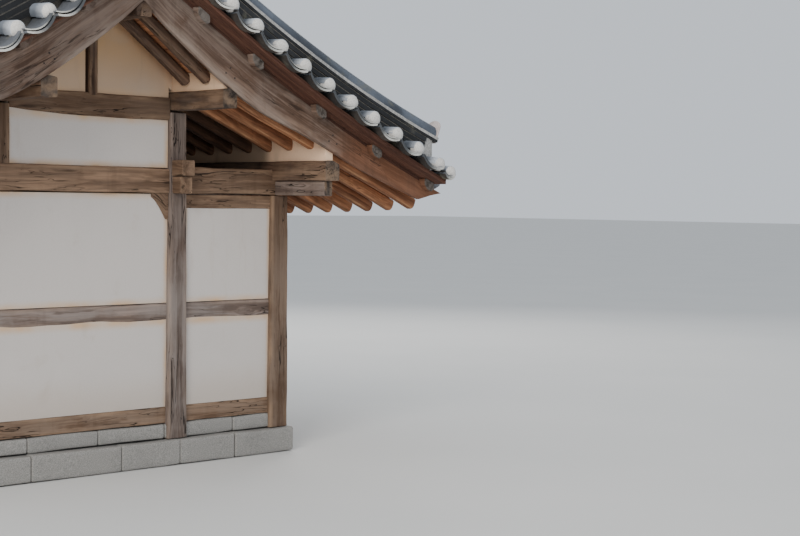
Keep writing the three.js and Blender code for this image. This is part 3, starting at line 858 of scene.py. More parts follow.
class Look(Enum):
    """Every finish of the house."""

    FRAME_TIMBER = TimberFinish("frame_timber", (0.32, 0.192, 0.116), (0.12, 0.07, 0.043),
                                silver=(0.25, 0.19, 0.145), checks=1.0)
    GREY_TIMBER = TimberFinish("grey_timber", (0.30, 0.215, 0.175), (0.12, 0.085, 0.068),
                               silver=(0.27, 0.235, 0.215), fresh=(0.33, 0.25, 0.20), silvering=0.65,
                               checks=1.0)
    ROOF_TIMBER = TimberFinish("roof_timber", (0.23, 0.13, 0.078), (0.072, 0.04, 0.026), sheltered=0.45,
                               indoor_shade=0.6)
    RAFTER_TIMBER = TimberFinish("rafter_timber", (0.56, 0.25, 0.118), (0.19, 0.077, 0.038), silvering=0.1,
                                 fresh=(0.62, 0.34, 0.17), worn=0.8, checks=0.6, indoor_shade=0.8)
    BOARD_TIMBER = TimberFinish("board_timber", (0.235, 0.142, 0.094), (0.095, 0.056, 0.039),
                                silver=(0.26, 0.21, 0.178), fresh=(0.28, 0.225, 0.185), sheltered=1.0,
                                worn=0.8, checks=0.65, warm_from=1.95)
    END_TIMBER = TimberFinish("silvered_timber", (0.17, 0.14, 0.12), (0.06, 0.05, 0.042),
                              silver=(0.18, 0.16, 0.145), silvering=0.6, sheltered=1.0)
    PURLIN_END = TimberFinish("purlin_end", (0.108, 0.078, 0.06), (0.04, 0.03, 0.024),
                              silver=(0.10, 0.08, 0.066), sheltered=1.0)
    FLOOR_TIMBER = TimberFinish("floor_timber", (0.30, 0.165, 0.085), (0.15, 0.075, 0.04), silvering=0.25,
                                depth=0.002)
    DECK_TIMBER = TimberFinish("deck_timber", (0.80, 0.36, 0.165), (0.42, 0.17, 0.08), silvering=0.1,
                               checks=0.4, indoor_shade=0.85)
    SOFFIT_TIMBER = TimberFinish("soffit_timber", (0.19, 0.084, 0.052), (0.09, 0.038, 0.025), silvering=0.1,
                                 checks=0.4)
    IRON = MineralFinish("iron", (0.05, 0.035, 0.028), (0.02, 0.016, 0.014), 200.0, 0.001)
    PLASTER = PlasterFinish("plaster")
    INFILL = PlasterFinish("infill_plaster", base=(0.72, 0.50, 0.33), painted_shade_beige=(0.72, 0.50, 0.33), indoor_shade=0.8)
    # Eave filler: the infill's warm plaster made brighter as painted light, where direct light falls on it.
    EAVE_INFILL = PlasterFinish("eave_plaster_painted_light", base=(0.90, 0.63, 0.43), indoor_shade=0.8)
    TILE = TileFinish("roof_tile")
    # Ridge tiles: dark clay pushed to near black as painted shade for the ridge's black bands.
    RIDGE_TILE = TileFinish("ridge_tile", dark=(0.003, 0.0035, 0.0045), pale=(0.018, 0.020, 0.024), bloom=0.3)
    CAP_TILE = TileFinish("cap_tile", dark=(0.028, 0.035, 0.047), pale=(0.135, 0.16, 0.20), bloom=0.42,
                          spread=0.1)
    VERGE_TILE = TileFinish("verge_tile", dark=(0.16, 0.18, 0.21), pale=(0.62, 0.65, 0.69), bloom=0.35,
                            spread=0.55)
    # Undersides of the verge's hollow tiles: dark brown-grey as painted shade.
    HOLLOW_TILE = TileFinish("hollow_tile", dark=(0.022, 0.019, 0.017), pale=(0.105, 0.088, 0.075))
    # Lip ends of the verge's hollow tiles: pale as a painted highlight.
    RIM_TILE = TileFinish("rim_tile", dark=(0.06, 0.065, 0.07), pale=(0.56, 0.55, 0.51), bloom=0.55,
                          spread=0.5)
    MORTAR = MineralFinish("white_mortar", (0.76, 0.74, 0.70), (0.55, 0.52, 0.48), 70.0, 0.003)
    # Pale mortar: the real mortar block under a slope ridge's end, and the ridges' top course painted pale as
    # a highlight.
    PALE_MORTAR = MineralFinish("mortar_and_painted_highlight", (0.50, 0.49, 0.47), (0.26, 0.25, 0.235), 60.0)
    DULL_MORTAR = MineralFinish("base_mortar", (0.17, 0.158, 0.138), (0.08, 0.074, 0.065), 60.0)
    PLATE_TILE = TileFinish("plate_tile", dark=(0.24, 0.20, 0.19), pale=(0.60, 0.52, 0.49), bloom=0.6)
    EARTH = MineralFinish("roof_earth", (0.16, 0.10, 0.062), (0.07, 0.045, 0.03), 40.0, 0.006)
    STONE = MineralFinish("granite", (0.36, 0.345, 0.32), (0.17, 0.165, 0.155))


# By part: tiles darkened as painted shade, a course painted pale as a highlight, round row, end plate, dull
# joints.
RIDGE_LOOKS = (Look.RIDGE_TILE, Look.PALE_MORTAR, Look.CAP_TILE, Look.PLATE_TILE, Look.DULL_MORTAR)


# The house's own lines

BAY = 3.0
MIDDLE_X = 0.945
EAVE_X = 2.195
FLOOR_TOP = 0.56
TIP_X = 3.53
EDGE_X = 3.70
BOARD_BACK, BOARD_FRONT = 3.85, 3.90
SPACING = 0.328
TILE_PITCH = 0.33
SOFFIT_RISE = 0.03
SIDES = {"left": -1, "right": 1}
GABLES = {"front": -1, "back": 1}


@dataclass(frozen=True)
class Corner:
    """Where a slope of the roof meets a gable: -1 for the left slope and the front gable, else 1."""

    name: str
    side: int
    outside: int

    @property
    def out(self) -> Array:
        """The direction out of the gable."""
        return self.outside * ALONG

    def track(self, d: Values, run: Values, z: Values) -> Array:
        """A track by distances from the ridge line and from mid-length, on the corner's own side."""
        return track(self.side * d, self.outside * run, z)


CORNERS = [Corner(f"{gable}_{hand}", side, outside) for gable, outside in GABLES.items()
           for hand, side in SIDES.items()]


class RoofLines:
    """The roof's curves, as heights over the distance from the ridge line and the place along it."""

    SHORT_TOP, SHORT_FALL = 4.285, 0.746
    LONG_TOP, LONG_FALL = 3.58, 0.417
    RAFTER_RUN, TILE_RUN = 2.585, 2.755
    EAVE_SAG = 0.110
    LOWER_EDGE = (4.291, 0.869, 0.122)
    UPPER_EDGE = (4.600, 0.670, 0.038)
    TAIL_FROM, TAIL_FALL = 2.3, 0.330
    HOLLOW, HOLLOW_AT, HOLLOW_WIDTH = 0.076, 1.93, 0.55
    DECK_RISE = 0.155
    TILE_RISE = 0.180
    SAMPLES = 240

    @staticmethod
    def sag(y: Array) -> Array:
        """0 at a gable and 1 at mid-length: one less the 2.5th power of the share of the way out."""
        return 1 - np.minimum(1, np.abs(y) / BOARD_FRONT) ** 2.5

    @staticmethod
    def _parabola(d: Array, level: float, fall: float, bend: float) -> Array:
        """level - fall * d + bend * d squared."""
        return level - fall * d + bend * d**2

    @classmethod
    def rafter(cls, x: Array, y: Array) -> Array:
        """Underside of the rafters: steep to the middle purlin, shallow past it, lower at mid-length."""
        out = np.maximum(np.abs(x) - MIDDLE_X, 0)
        return np.where(out > 0, cls.LONG_TOP - cls.LONG_FALL * out - cls.EAVE_SAG * out / cls.RAFTER_RUN
                        * cls.sag(y), cls.SHORT_TOP - cls.SHORT_FALL * np.abs(x))

    @classmethod
    def board_lower(cls, x: Array) -> Array:
        """Lower edge of a bargeboard: a parabola, then a straight tail, hollowed in a bell curve."""
        d, curved = np.abs(x), np.minimum(np.abs(x), cls.TAIL_FROM)
        return (cls._parabola(curved, *cls.LOWER_EDGE) - cls.TAIL_FALL * (d - curved)
                + cls.HOLLOW * np.exp(-(((d - cls.HOLLOW_AT) / cls.HOLLOW_WIDTH) ** 2)))

    @classmethod
    def board_upper(cls, x: Array) -> Array:
        """Upper edge of a bargeboard: a shallow parabola."""
        return cls._parabola(np.abs(x), *cls.UPPER_EDGE)

    @classmethod
    def tile(cls, x: Array, y: Array) -> Array:
        """Top of the tiles: the bargeboard's upper edge, lifted, and lower at mid-length."""
        out = np.maximum(0, np.abs(x) - MIDDLE_X) / cls.TILE_RUN
        return cls.board_upper(x) + cls.TILE_RISE - cls.EAVE_SAG * out**2 * cls.sag(y)

    @classmethod
    def curve(cls, y: float, start: float, end: float) -> tuple[Array, Array]:
        """A tiled slope's curve, sampled.

        Args:
            y: place along the ridge.
            start: distance from the ridge line where the curve begins.
            end: distance where it ends.

        Returns:
            Distances from the ridge line, and lengths along the curve up to each.
        """
        d = np.linspace(start, end, cls.SAMPLES)
        steps = np.hypot(np.diff(d), np.diff(cls.tile(d, y)))
        return d, np.concatenate([[0], np.cumsum(steps)])

    @classmethod
    def length(cls, y: float, start: float, end: float) -> float:
        """Length of a tiled slope's curve between two distances."""
        return float(cls.curve(y, start, end)[1][-1])

    @classmethod
    def stations(cls, side: int, y: float, start: float, runs: Array) -> tuple[Array, Array, Array]:
        """Places at given lengths down a tiled slope.

        Args:
            side: -1 for the left slope, 1 for the right.
            y: place along the ridge.
            start: distance from the ridge line where the run begins.
            runs: lengths from the start, in metres along the slope.

        Returns:
            Points (m, 3), directions along the slope and directions square to it.
        """
        d, lengths = cls.curve(y, start, EDGE_X)
        at = np.interp(runs, lengths, d)
        step = 1e-3
        rise = (cls.tile(at + step, y) - cls.tile(at - step, y)) / (2 * step)
        length = np.hypot(1, rise)
        along = track(side / length, 0.0, rise / length)
        square = track(-side * rise / length, 0.0, 1 / length)
        return track(side * at, y, cls.tile(at, y)), along, square


# Studio and camera


@dataclass(frozen=True)
class Lamp:
    """A square soft light that points at the middle of the house."""

    name: str
    place: tuple[float, float, float]
    size: float
    power: float
    tint: Colour


def stand(name: str, data: object, place: tuple[float, float, float], own: list[Array]) -> bpy.types.Object:
    """Puts a light or a camera into the scene.

    Args:
        name: the object's name.
        data: the light or the camera.
        place: where it stands.
        own: directions of its own X, Y and Z. Z leads away from what it points at.

    Returns:
        The new object.
    """
    made = bpy.data.objects.new(name, data)
    turned = Matrix(np.column_stack(own).tolist()).to_4x4()
    turned.translation = place
    made.matrix_world = turned
    bpy.context.scene.collection.objects.link(made)
    return made


@dataclass
class Studio:
    """Pale floor, soft lights and the camera."""

    yaw: float = 43.275
    pitch: float = -2.378
    roll: float = 0.691
    place: tuple[float, float, float] = (-7.922, -15.621, 2.549)
    focal: float = 1584.5
    picture_width: float = 800.0
    sensor: float = 36.0
    reach: float = 200.0
    floor_z: float = -0.002
    sky: tuple[float, float, float, float] = (0.86, 0.92, 1.0, 1.0)
    sky_strength: float = 0.85
    aim: tuple[float, float, float] = (0.0, 0.0, 2.2)
    lamps: tuple[Lamp, ...] = (Lamp("key_light", (-16.0, -14.0, 13.0), 9.0, 3600.0, (1.0, 0.96, 0.90)),
                               Lamp("fill_light", (-4.0, -19.0, 1.6), 7.0, 500.0, (0.97, 0.98, 1.0)),
                               Lamp("back_light", (14.0, 10.0, 12.0), 9.0, 1500.0, (1.0, 0.97, 0.93)))

    def build(self) -> None:
        """Makes the floor, the world, the lights and the camera."""
        self._floor()
        self._sky()
        for lamp in self.lamps:
            self._lamp(lamp)
        self._camera()

    def _floor(self) -> None:
        """A pale floor: a flat square far wider than the house."""
        gx, gy = np.meshgrid([-self.reach, self.reach], [-self.reach, self.reach])
        mesh = bpy.data.meshes.new("studio_floor")
        mesh.from_pydata(track(gx.ravel(), gy.ravel(), self.floor_z).tolist(), [], [(0, 1, 3, 2)])
        material, g, shader = new_material("studio_floor")
        patch = g.noise(g.place(), 0.4, 2.0)
        g.feed(shader, {"Base Color": g.mix(patch, (0.62, 0.62, 0.60), (0.68, 0.67, 0.65)), "Roughness": 0.9})
        mesh.materials.append(material)
        floor = bpy.data.objects.new("studio_floor", mesh)
        bpy.context.scene.collection.objects.link(floor)

    def _sky(self) -> None:
        """An even pale sky."""
        world = bpy.data.worlds.new("studio_sky")
        world.use_nodes = True
        background = world.node_tree.nodes["Background"].inputs
        background[0].default_value = self.sky
        background[1].default_value = self.sky_strength
        bpy.context.scene.world = world

    def _lamp(self, lamp: Lamp) -> None:
        """One soft light, level and turned to the middle of the house.

        Args:
            lamp: its place, size, power and tint.
        """
        light = bpy.data.lights.new(lamp.name, "AREA")
        light.size, light.energy, light.color = lamp.size, lamp.power, lamp.tint
        aim = np.subtract(self.aim, lamp.place)
        aim /= np.linalg.norm(aim)
        side = np.cross(aim, UP)
        side /= np.linalg.norm(side)
        stand(lamp.name, light, lamp.place, [side, np.cross(side, aim), -aim])

    def _camera(self) -> None:
        """The photograph's camera: turned by yaw about Z, then pitched, then rolled about its axis."""
        yaw, pitch, roll = (math.radians(angle) for angle in (self.yaw, self.pitch, self.roll))
        ahead = np.array([math.sin(yaw) * math.cos(pitch), math.cos(yaw) * math.cos(pitch), math.sin(pitch)])
        right = np.array([math.cos(yaw), -math.sin(yaw), 0])
        up = np.cross(right, ahead)
        camera = bpy.data.cameras.new("camera")
        camera.sensor_width = self.sensor
        camera.lens = self.focal / self.picture_width * self.sensor
        camera.clip_end = 500.0
        side = right * math.cos(roll) + up * math.sin(roll)
        risen = up * math.cos(roll) - right * math.sin(roll)
        bpy.context.scene.camera = stand("camera", camera, self.place, [side, risen, -ahead])


# The house


@dataclass
class Assembly:
    """A part of the house. Its pieces ride on the one body."""

    materials: dict[Look, bpy.types.Material]

    def put(self, name: str, form: Form, looks: tuple[Look, ...], slot: str, *replaces: str,
            smooth: bool = True) -> None:
        """Puts a form into the scene as one piece.

        Args:
            name: the piece's name.
            form: its mesh.
            looks: a look for each number of its paint.
            slot: not used.
            replaces: the nodes that it stands for.
            smooth: whether faces shade smoothly up to the smooth limit.
        """
        made = bpy.data.objects.new(name, new_mesh(name, form, smooth))
        for look in looks:
            made.data.materials.append(self.materials[look])
        bpy.context.scene.collection.objects.link(made)
        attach(made, BODY)
        if replaces:
            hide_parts(*replaces)
        LOG.info("piece %s: %d faces", name, len(form.faces))


@dataclass
class Walls(Assembly):
    """The plaster panels, which keep their solids, and the plaster run up to beams and roof boards."""

    half: float = 0.0475
    beam_feet: tuple[float, float] = (3.3165, 3.40)
    beam_span: tuple[float, float] = (-0.86, 0.85)
    left_edge: float = -2.10
    rafter_band: tuple[float, float] = (-0.03, 0.127)

    def build(self) -> None:
        """Gives every plaster node the plaster finish and fills in under the upper beams."""
        for name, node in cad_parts.items():
            if "wall" in name:
                for place in node.material_slots:
                    place.material = self.materials[Look.PLASTER]
        xs = np.concatenate([np.linspace(self.left_edge, -MIDDLE_X, 7), [-0.5, 0, 0.5, MIDDLE_X - 0.002]])
        bottom, top = (lifted(RoofLines.rafter, rise) for rise in self.rafter_band)
        for gable, outside in GABLES.items():
            ys = outside * BAY + np.array([-self.half, self.half])
            feet = slab(np.array(self.beam_span), ys, *map(flat_at, self.beam_feet), 1)
            self.put(f"{gable}_beam_foot_plaster", feet, (Look.PLASTER,), "plaster", smooth=False)
            rake = slab(xs, ys, bottom, top, 2)
            self.put(f"{gable}_rafter_plaster", rake, (Look.PLASTER,), "plaster", smooth=False)


@dataclass
class Footing(Assembly):
    """Blocks of stone under the walls, and the curb that carries the floor."""

    half_width: float = 0.16
    height: float = 0.25
    curb_half: float = 0.075
    curb_top: float = 0.40
    joint: float = 0.006
    longest: float = 1.15
    lengths: tuple[float, ...] = (0.82, 0.66, 0.95, 0.74)
    dressing: Hewn = Hewn(corner=0.018, wander=0.006, nose=0.012)

    def build(self) -> None:
        """Lays the blocks in rows along every wall line."""
        rows = [(0, -EAVE_X, EAVE_X, -BAY), (0, -EAVE_X, EAVE_X, BAY), (1, -BAY, BAY, -EAVE_X),
                (1, -BAY, BAY, MIDDLE_X), (1, -BAY, BAY, EAVE_X)]
        levels = ((self.half_width, 0.0, self.height), (self.curb_half, self.height, self.curb_top))
        forms = []
        for number, (axis, start, end, across) in enumerate(rows):
            for level, (half, bottom, top) in enumerate(levels):
                past = -half if axis else half
                box = start - past, end + past, across, bottom, top, half
                forms += self._row(axis, box, 10 * number + level)
        self.put("footing_stones", Form.merged(forms), (Look.STONE,), "stone", "foundation")

    def _row(self, axis: int, box: tuple[float, ...], seed: int) -> list[Form]:
        """One row of blocks whose joints are spread by a repeating set of lengths.

        Args:
            axis: 0 where the row runs along X, 1 along Y.
            box: its start, end, place on the other axis, underside, top and half width.
            seed: sets the joints and the blocks.

        Returns:
            The blocks.
        """
        start, end, across, bottom, top, half = box
        rng = np.random.default_rng(seed)
        cuts = [start]
        while end - cuts[-1] > self.longest:
            cuts.append(cuts[-1] + self.lengths[int(rng.integers(len(self.lengths)))])
        cuts.append(end)
        middle = (bottom + top) / 2
        forms = []
        for number, (a, b) in enumerate(zip(cuts, cuts[1:])):
            places = a + self.joint / 2, b - self.joint / 2
            ends = [[across, at, middle] if axis else [at, across, middle] for at in places]
            forms.append(self.dressing.bar(*ends, 2 * half, top - bottom, 100 * seed + number))
        return forms


@dataclass
class Floor(Assembly):
    """The platform: edge beams, joists, and short boards between them."""

    bottom: float = 0.40
    reach_x: float = 2.255
    reach_y: float = 3.06
    edge_width: float = 0.15
    joist_width: float = 0.12
    joist_drop: float = 0.004
    board_width: float = 0.165
    board_thickness: float = 0.035
    board_gap: float = 0.003
    bays: int = 8
    hewn: Hewn = Hewn(corner=0.01, wander=0.002)
    plank: Hewn = Hewn(corner=0.004, wander=0.001, nose=0.003)

    def build(self) -> None:
        """Lays edge beams, joists and boards, each board a little off its neighbours."""
        middle, height = (self.bottom + FLOOR_TOP) / 2, FLOOR_TOP - self.bottom
        inner_x, inner_y = self.reach_x - self.edge_width, self.reach_y - self.edge_width
        forms = []
        for sign in (-1, 1):
            x, y = (sign * (reach - self.edge_width / 2) for reach in (self.reach_x, self.reach_y))
            for ends, seed in (([[-self.reach_x, y, middle], [self.reach_x, y, middle]], 5 + sign),
                               ([[x, -inner_y, middle], [x, inner_y, middle]], 9 + sign)):
                forms.append(self.hewn.bar(*ends, self.edge_width, height, seed))
        joists = np.linspace(-inner_y, inner_y, self.bays + 1)
        for number, y in enumerate(joists[1:-1]):
            ends = [[-inner_x, y, middle], [inner_x, y, middle]]
            forms.append(self.hewn.bar(*ends, self.joist_width, height - self.joist_drop, 20 + number))
        self.put("floor_beams", Form.merged(forms), (Look.FRAME_TIMBER,), "timber")
        rng = np.random.default_rng(31)
        edges = np.linspace(-inner_x, inner_x, int(2 * inner_x / self.board_width) + 1)
        inset = self.joist_width / 2 + 0.001
        forms = []
        for low, high in zip(joists, joists[1:]):
            for a, b in zip(edges, edges[1:]):
                z = FLOOR_TOP - self.board_thickness / 2 - 0.003 - rng.uniform(0, 0.003)
                ends = [[(a + b) / 2, low + inset, z], [(a + b) / 2, high - inset, z]]
                forms.append(self.plank.bar(*ends, b - a - self.board_gap, self.board_thickness,
                                            int(rng.integers(1e6))))
        self.put("floor_boards", Form.merged(forms), (Look.FLOOR_TIMBER,), "timber", "floor_platform")


COLUMN = Hewn(corner=0.014, wander=0.0035)
BEAM = Hewn(corner=0.022, wander=0.005)


@dataclass(frozen=True)
class Level:
    """A level timber of a cross frame: from where to where, its middle height, its size and its dressing."""

    start: float
    end: float
    z: float
    size: tuple[float, float]
    hewn: Hewn
    tone: float

    def at(self, y: float, seed: int) -> Form:
        """The timber at a place along the ridge."""
        return self.hewn.bar([self.start, y, self.z], [self.end, y, self.z], *self.size, seed, self.tone)


@dataclass
class Frame(Assembly):
    """The standing frame: columns, beams and the posts on them, each a hewn timber.

    The columns' sizes are each one's width as a share of its node's box, how much wider its foot is
    than its head, and how dark it is. The main beam is deeper at its left end, and the foot of the
    upper beam rises towards it.
    """

    column_sizes: tuple[tuple[float, float, float], ...] = ((1.04, 0.20, 0.35), (1.02, 0.17, 0.75),
                                                            (1.13, 0.12, 1.0))
    ridge_post_width: float = 0.72
    other_looks: tuple[tuple[str, Look], ...] = (("tall_column", Look.GREY_TIMBER),
                                                 ("ridge_post", Look.ROOF_TIMBER))
    main_beam: Level = Level(-EAVE_X, 0.849, 2.725, (0.19, 0.25), replace(BEAM, bow=0.006, taper=-0.04), 0.05)
    tie_beam: Level = Level(1.0403, EAVE_X, 2.735, (0.17, 0.27), replace(BEAM, wander=0.008), 0.5)
    lintel: Level = Level(1.0403, 2.0997, 2.531, (0.13, 0.138), COLUMN, 0.25)
    upper: tuple[float, float] = (3.295, 3.52)
    rail_z: float = 1.4725
    rail_size: tuple[float, float] = (0.06, 0.175)
    rail_x: float = -2.225
    rail_y: float = 3.03
    rail_end: float = 2.16

    def build(self) -> None:
        """Dresses every timber of the three frames, the long tie and the rails."""
        for number, name in enumerate(("front", "middle", "back")):
            y = (number - 1) * BAY
            for row, (size, spread, tone) in zip(("left", "tall", "porch"), self.column_sizes):
                self._upright(f"{name}_{row}_column", 40 + 10 * number + len(row), tone, size, spread)
            self._upright(f"{name}_queen_post", 90 + number, 0.85)
            self._upright(f"{name}_ridge_post", 95 + number, 0.85, self.ridge_post_width)
            main = [self.main_beam.at(y, 60 + number)] + ([self._bracket(y, 67 + number)] if y else [])
            self._place(f"{name}_main_beam", *main)
            self._place(f"{name}_tie_beam", self.tie_beam.at(y, 70 + number), self.lintel.at(y, 75 + number))
            self._upper_beam(f"{name}_upper_beam", y, 80 + number)
        self._long_tie()
        self._rails()

    def _place(self, node: str, *forms: Form) -> None:
        """Puts timbers in for a node: silvered in a tall column, dark in a ridge post."""
        look = next((look for part, look in self.other_looks if part in node), Look.FRAME_TIMBER)
        self.put(f"{node}_timber", Form.merged(forms), (look,), "timber", node)

    def _upright(self, node: str, seed: int, tone: float, size: float = 1.0, spread: float = 0.0) -> None:
        """A post in its node's box.

        Args:
            node: the post's node.
            seed: sets its waves and grain.
            tone: how dark it is.
            size: its width as a share of the box's.
            spread: how much wider its foot is than its head, as a share.
        """
        low, high = (np.array(corner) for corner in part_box(node))
        x, y, _ = (low + high) / 2
        width, depth, _ = high - low
        post = replace(COLUMN, spread=spread)
        self._place(node, post.bar([x, y, low[2]], [x, y, high[2]], width * size, depth, seed, tone))

    def _bracket(self, y: float, seed: int) -> Form:
        """A board with a hollow lower edge: its depth is the 1.4th power of the share of its length.

        Args:
            y: place of its middle plane.
            seed: sets its grain.

        Returns:
            The closed bracket, against the tall column and under the main beam.
        """
        edge, top = self.main_beam.end, self.main_beam.z - self.main_beam.size[1] / 2
        share = np.linspace(0, 1, 9)
        xs = np.append(edge - 0.19 + 0.16 * share, edge)
        zs = np.append(top - 0.03 - 0.21 * share**1.4, top - 0.24)
        height = top + 0.01 - zs
        base, wear = squared(0.13, 1.0, 0.02)
        section = base[None] * np.stack([np.ones_like(height), height], 1)[:, None]
        return sweep(track(xs, y, zs + height / 2), section, ALONG, UP, 0.3, seed, wear)

    def _upper_beam(self, node: str, y: float, seed: int) -> None:
        """The upper beam, as long and as wide as its node.

        Args:
            node: the beam's node.
            y: place of its middle plane.
            seed: sets its waves and grain.
        """
        low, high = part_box(node)
        bottom, top = self.upper
        size = high[1] - low[1], top - bottom
        beam = Level(low[0], high[0], (bottom + top) / 2, size, replace(BEAM, taper=0.05, bow=0.004), 0.85)
        self._place(node, beam.at(y, seed))

    def _long_tie(self) -> None:
        """The two timbers, one on the other, that run along the ridge through the tall columns."""
        ties = replace(BEAM, corner=0.012)
        forms = [ties.bar([MIDDLE_X, -end, z], [MIDDLE_X, end, z], width, height, seed, 0.5)
                 for end, z, width, height, seed in ((3.26, 2.85, 0.16, 0.16, 101),
                                                     (3.225, 2.69, 0.145, 0.17, 102))]
        self._place("long_tie", *forms)

    def _rails(self) -> None:
        """The rails at mid-height, one for each bay, in the outer half of the wall."""
        forms = []
        for sign in (-1, 1):
            for number, (a, b) in enumerate(((-EAVE_X, MIDDLE_X), (MIDDLE_X, self.rail_end))):
                rail = Level(a, b, self.rail_z, self.rail_size, BEAM, 0.0)
                forms.append(rail.at(sign * self.rail_y, 110 + number + 3 * sign))
            ends = [[self.rail_x, 0.0, self.rail_z], [self.rail_x, sign * BAY, self.rail_z]]
            forms.append(BEAM.bar(*ends, *self.rail_size, 120 + sign, 0.1))
        self.put("mid_rail_timbers", Form.merged(forms), (Look.GREY_TIMBER,), "timber", "mid_rails")


@dataclass
class Purlins(Assembly):
    """The five purlins, the bearers under the eave purlins and the plaster filled in over them.

    Each place gives a purlin's name, its side, the height of its underside and how dark it is.
    """

    places: tuple[tuple[str, int, float, float], ...] = (
        ("left_eave", -1, 2.75, 0.4), ("left_middle", -1, 3.395, 0.5), ("ridge", 0, 4.15, 0.9),
        ("right_middle", 1, 3.395, 1.0), ("right_eave", 1, 2.75, 0.35))
    half: float = 0.09
    height: float = 0.20
    middle_height: float = 0.183
    ridge_height: float = 0.135
    ease: float = 0.018
    end: float = 3.8997
    under_board: float = 0.004
    bearer_end: float = 3.84
    bearer_z: float = 2.675
    bearer_size: tuple[float, float] = (0.11, 0.152)
    bearer: Hewn = Hewn(corner=0.015, wander=0.003)
    filler_end: float = 3.847
    filler_drop: float = 0.03
    filler_rise: float = 0.128

    def build(self) -> None:
        """Makes each purlin and the filler strip over it."""
        ys = np.linspace(-self.filler_end, self.filler_end, 25)
        for number, (name, side, low, tone) in enumerate(self.places):
            seed = 200 + 10 * number
            eave = name.endswith("eave")
            x = side * (EAVE_X if eave else MIDDLE_X)
            high = low + (self.height if eave else self.middle_height if side else self.ridge_height)
            forms = [self._log(x, low, high, tone, seed)]
            if eave:
                ends = [[x, -self.bearer_end, self.bearer_z], [x, self.bearer_end, self.bearer_z]]
                forms.append(self.bearer.bar(*ends, *self.bearer_size, seed + 1, tone).painted(Part.TRIM))
            if side:
                forms = [self._ends_painted(form) for form in forms]
            looks = (Look.ROOF_TIMBER, Look.PURLIN_END) + (Look.GREY_TIMBER,) * eave
            self.put(f"{name}_purlin_timber", Form.merged(forms), looks, "timber", f"{name}_purlin")
            # The eave fillers take the brighter plaster: painted light over the infill colour.
            half, points, look = (0.045, 2, Look.EAVE_INFILL) if eave else (0.05, 3, Look.INFILL)
            filler = slab(np.linspace(x - half, x + half, points), ys, flat_at(high - self.filler_drop),
                          lifted(RoofLines.rafter, self.filler_rise), seed)
            self.put(f"{name}_purlin_filler", filler, (look,), "plaster", smooth=False)

    @staticmethod
    def _ends_painted(form: Form) -> Form:
        """The same timber with its two end faces in the slot for ends."""
        reach = np.abs(form.points[:, 1])
        return form.tipped(reach > reach.max() - 0.002)

    def _log(self, x: float, low: float, high: float, tone: float, seed: int) -> Form:
        """One purlin: its top is bevelled to the rafters, and its ends are tucked under the boards.

        Every corner is cut back by the same length, with a middle point on the curve.

        Args:
            x: place across.
            low: height of its underside.
            high: height of its crest.
            tone: how dark it is.
            seed: sets its waves and grain.

        Returns:
            The closed timber.
        """
        eave = abs(x) == EAVE_X
        drop = (RoofLines.LONG_FALL if x else RoofLines.SHORT_FALL) * self.half
        left, right = (drop if x * hand >= 0 else 0.012 for hand in (-1, 1))
        at = np.array([(self.half, low), (self.half, high - right), (0, high), (-self.half, high - left),
                       (-self.half, low)])
        before, after = (at + self.ease * way / np.linalg.norm(way, axis=1)[:, None]
                         for way in (np.roll(at, 1, 0) - at, np.roll(at, -1, 0) - at))
        section = np.stack([before, (before + after) / 4 + at / 2, after], axis=1).reshape(-1, 2)
        section = np.concatenate([section, (section[-1:] + section[:1]) / 2])
        wear = np.array([1, 1, 1, 0.6, 0.6, 0.6, 0, 0, 0, 0.6, 0.6, 0.6, 1, 1, 1, 0])
        tail = BOARD_BACK - 0.004
        run = np.concatenate([[-self.end, -tail - 0.002], np.linspace(-tail, tail, 38),
                              [tail + 0.002, self.end]])
        rng = np.random.default_rng(seed)
        sections = np.repeat(section[None], len(run), 0)
        sections[..., 0] *= ((1.0 if eave else 0.9) - 0.02 + ripple(run, rng, 0.02))[:, None]
        sections[..., 1] += ripple(run, rng, 0.003)[:, None]
        under = RoofLines.board_lower(x + sections[..., 0]) - self.under_board
        outside = np.abs(run)[:, None] > tail
        sections[..., 1] = np.where(outside, np.minimum(sections[..., 1], under), sections[..., 1])
        return sweep(track(x, run, 0.0), sections, ACROSS, UP, tone, seed, wear)


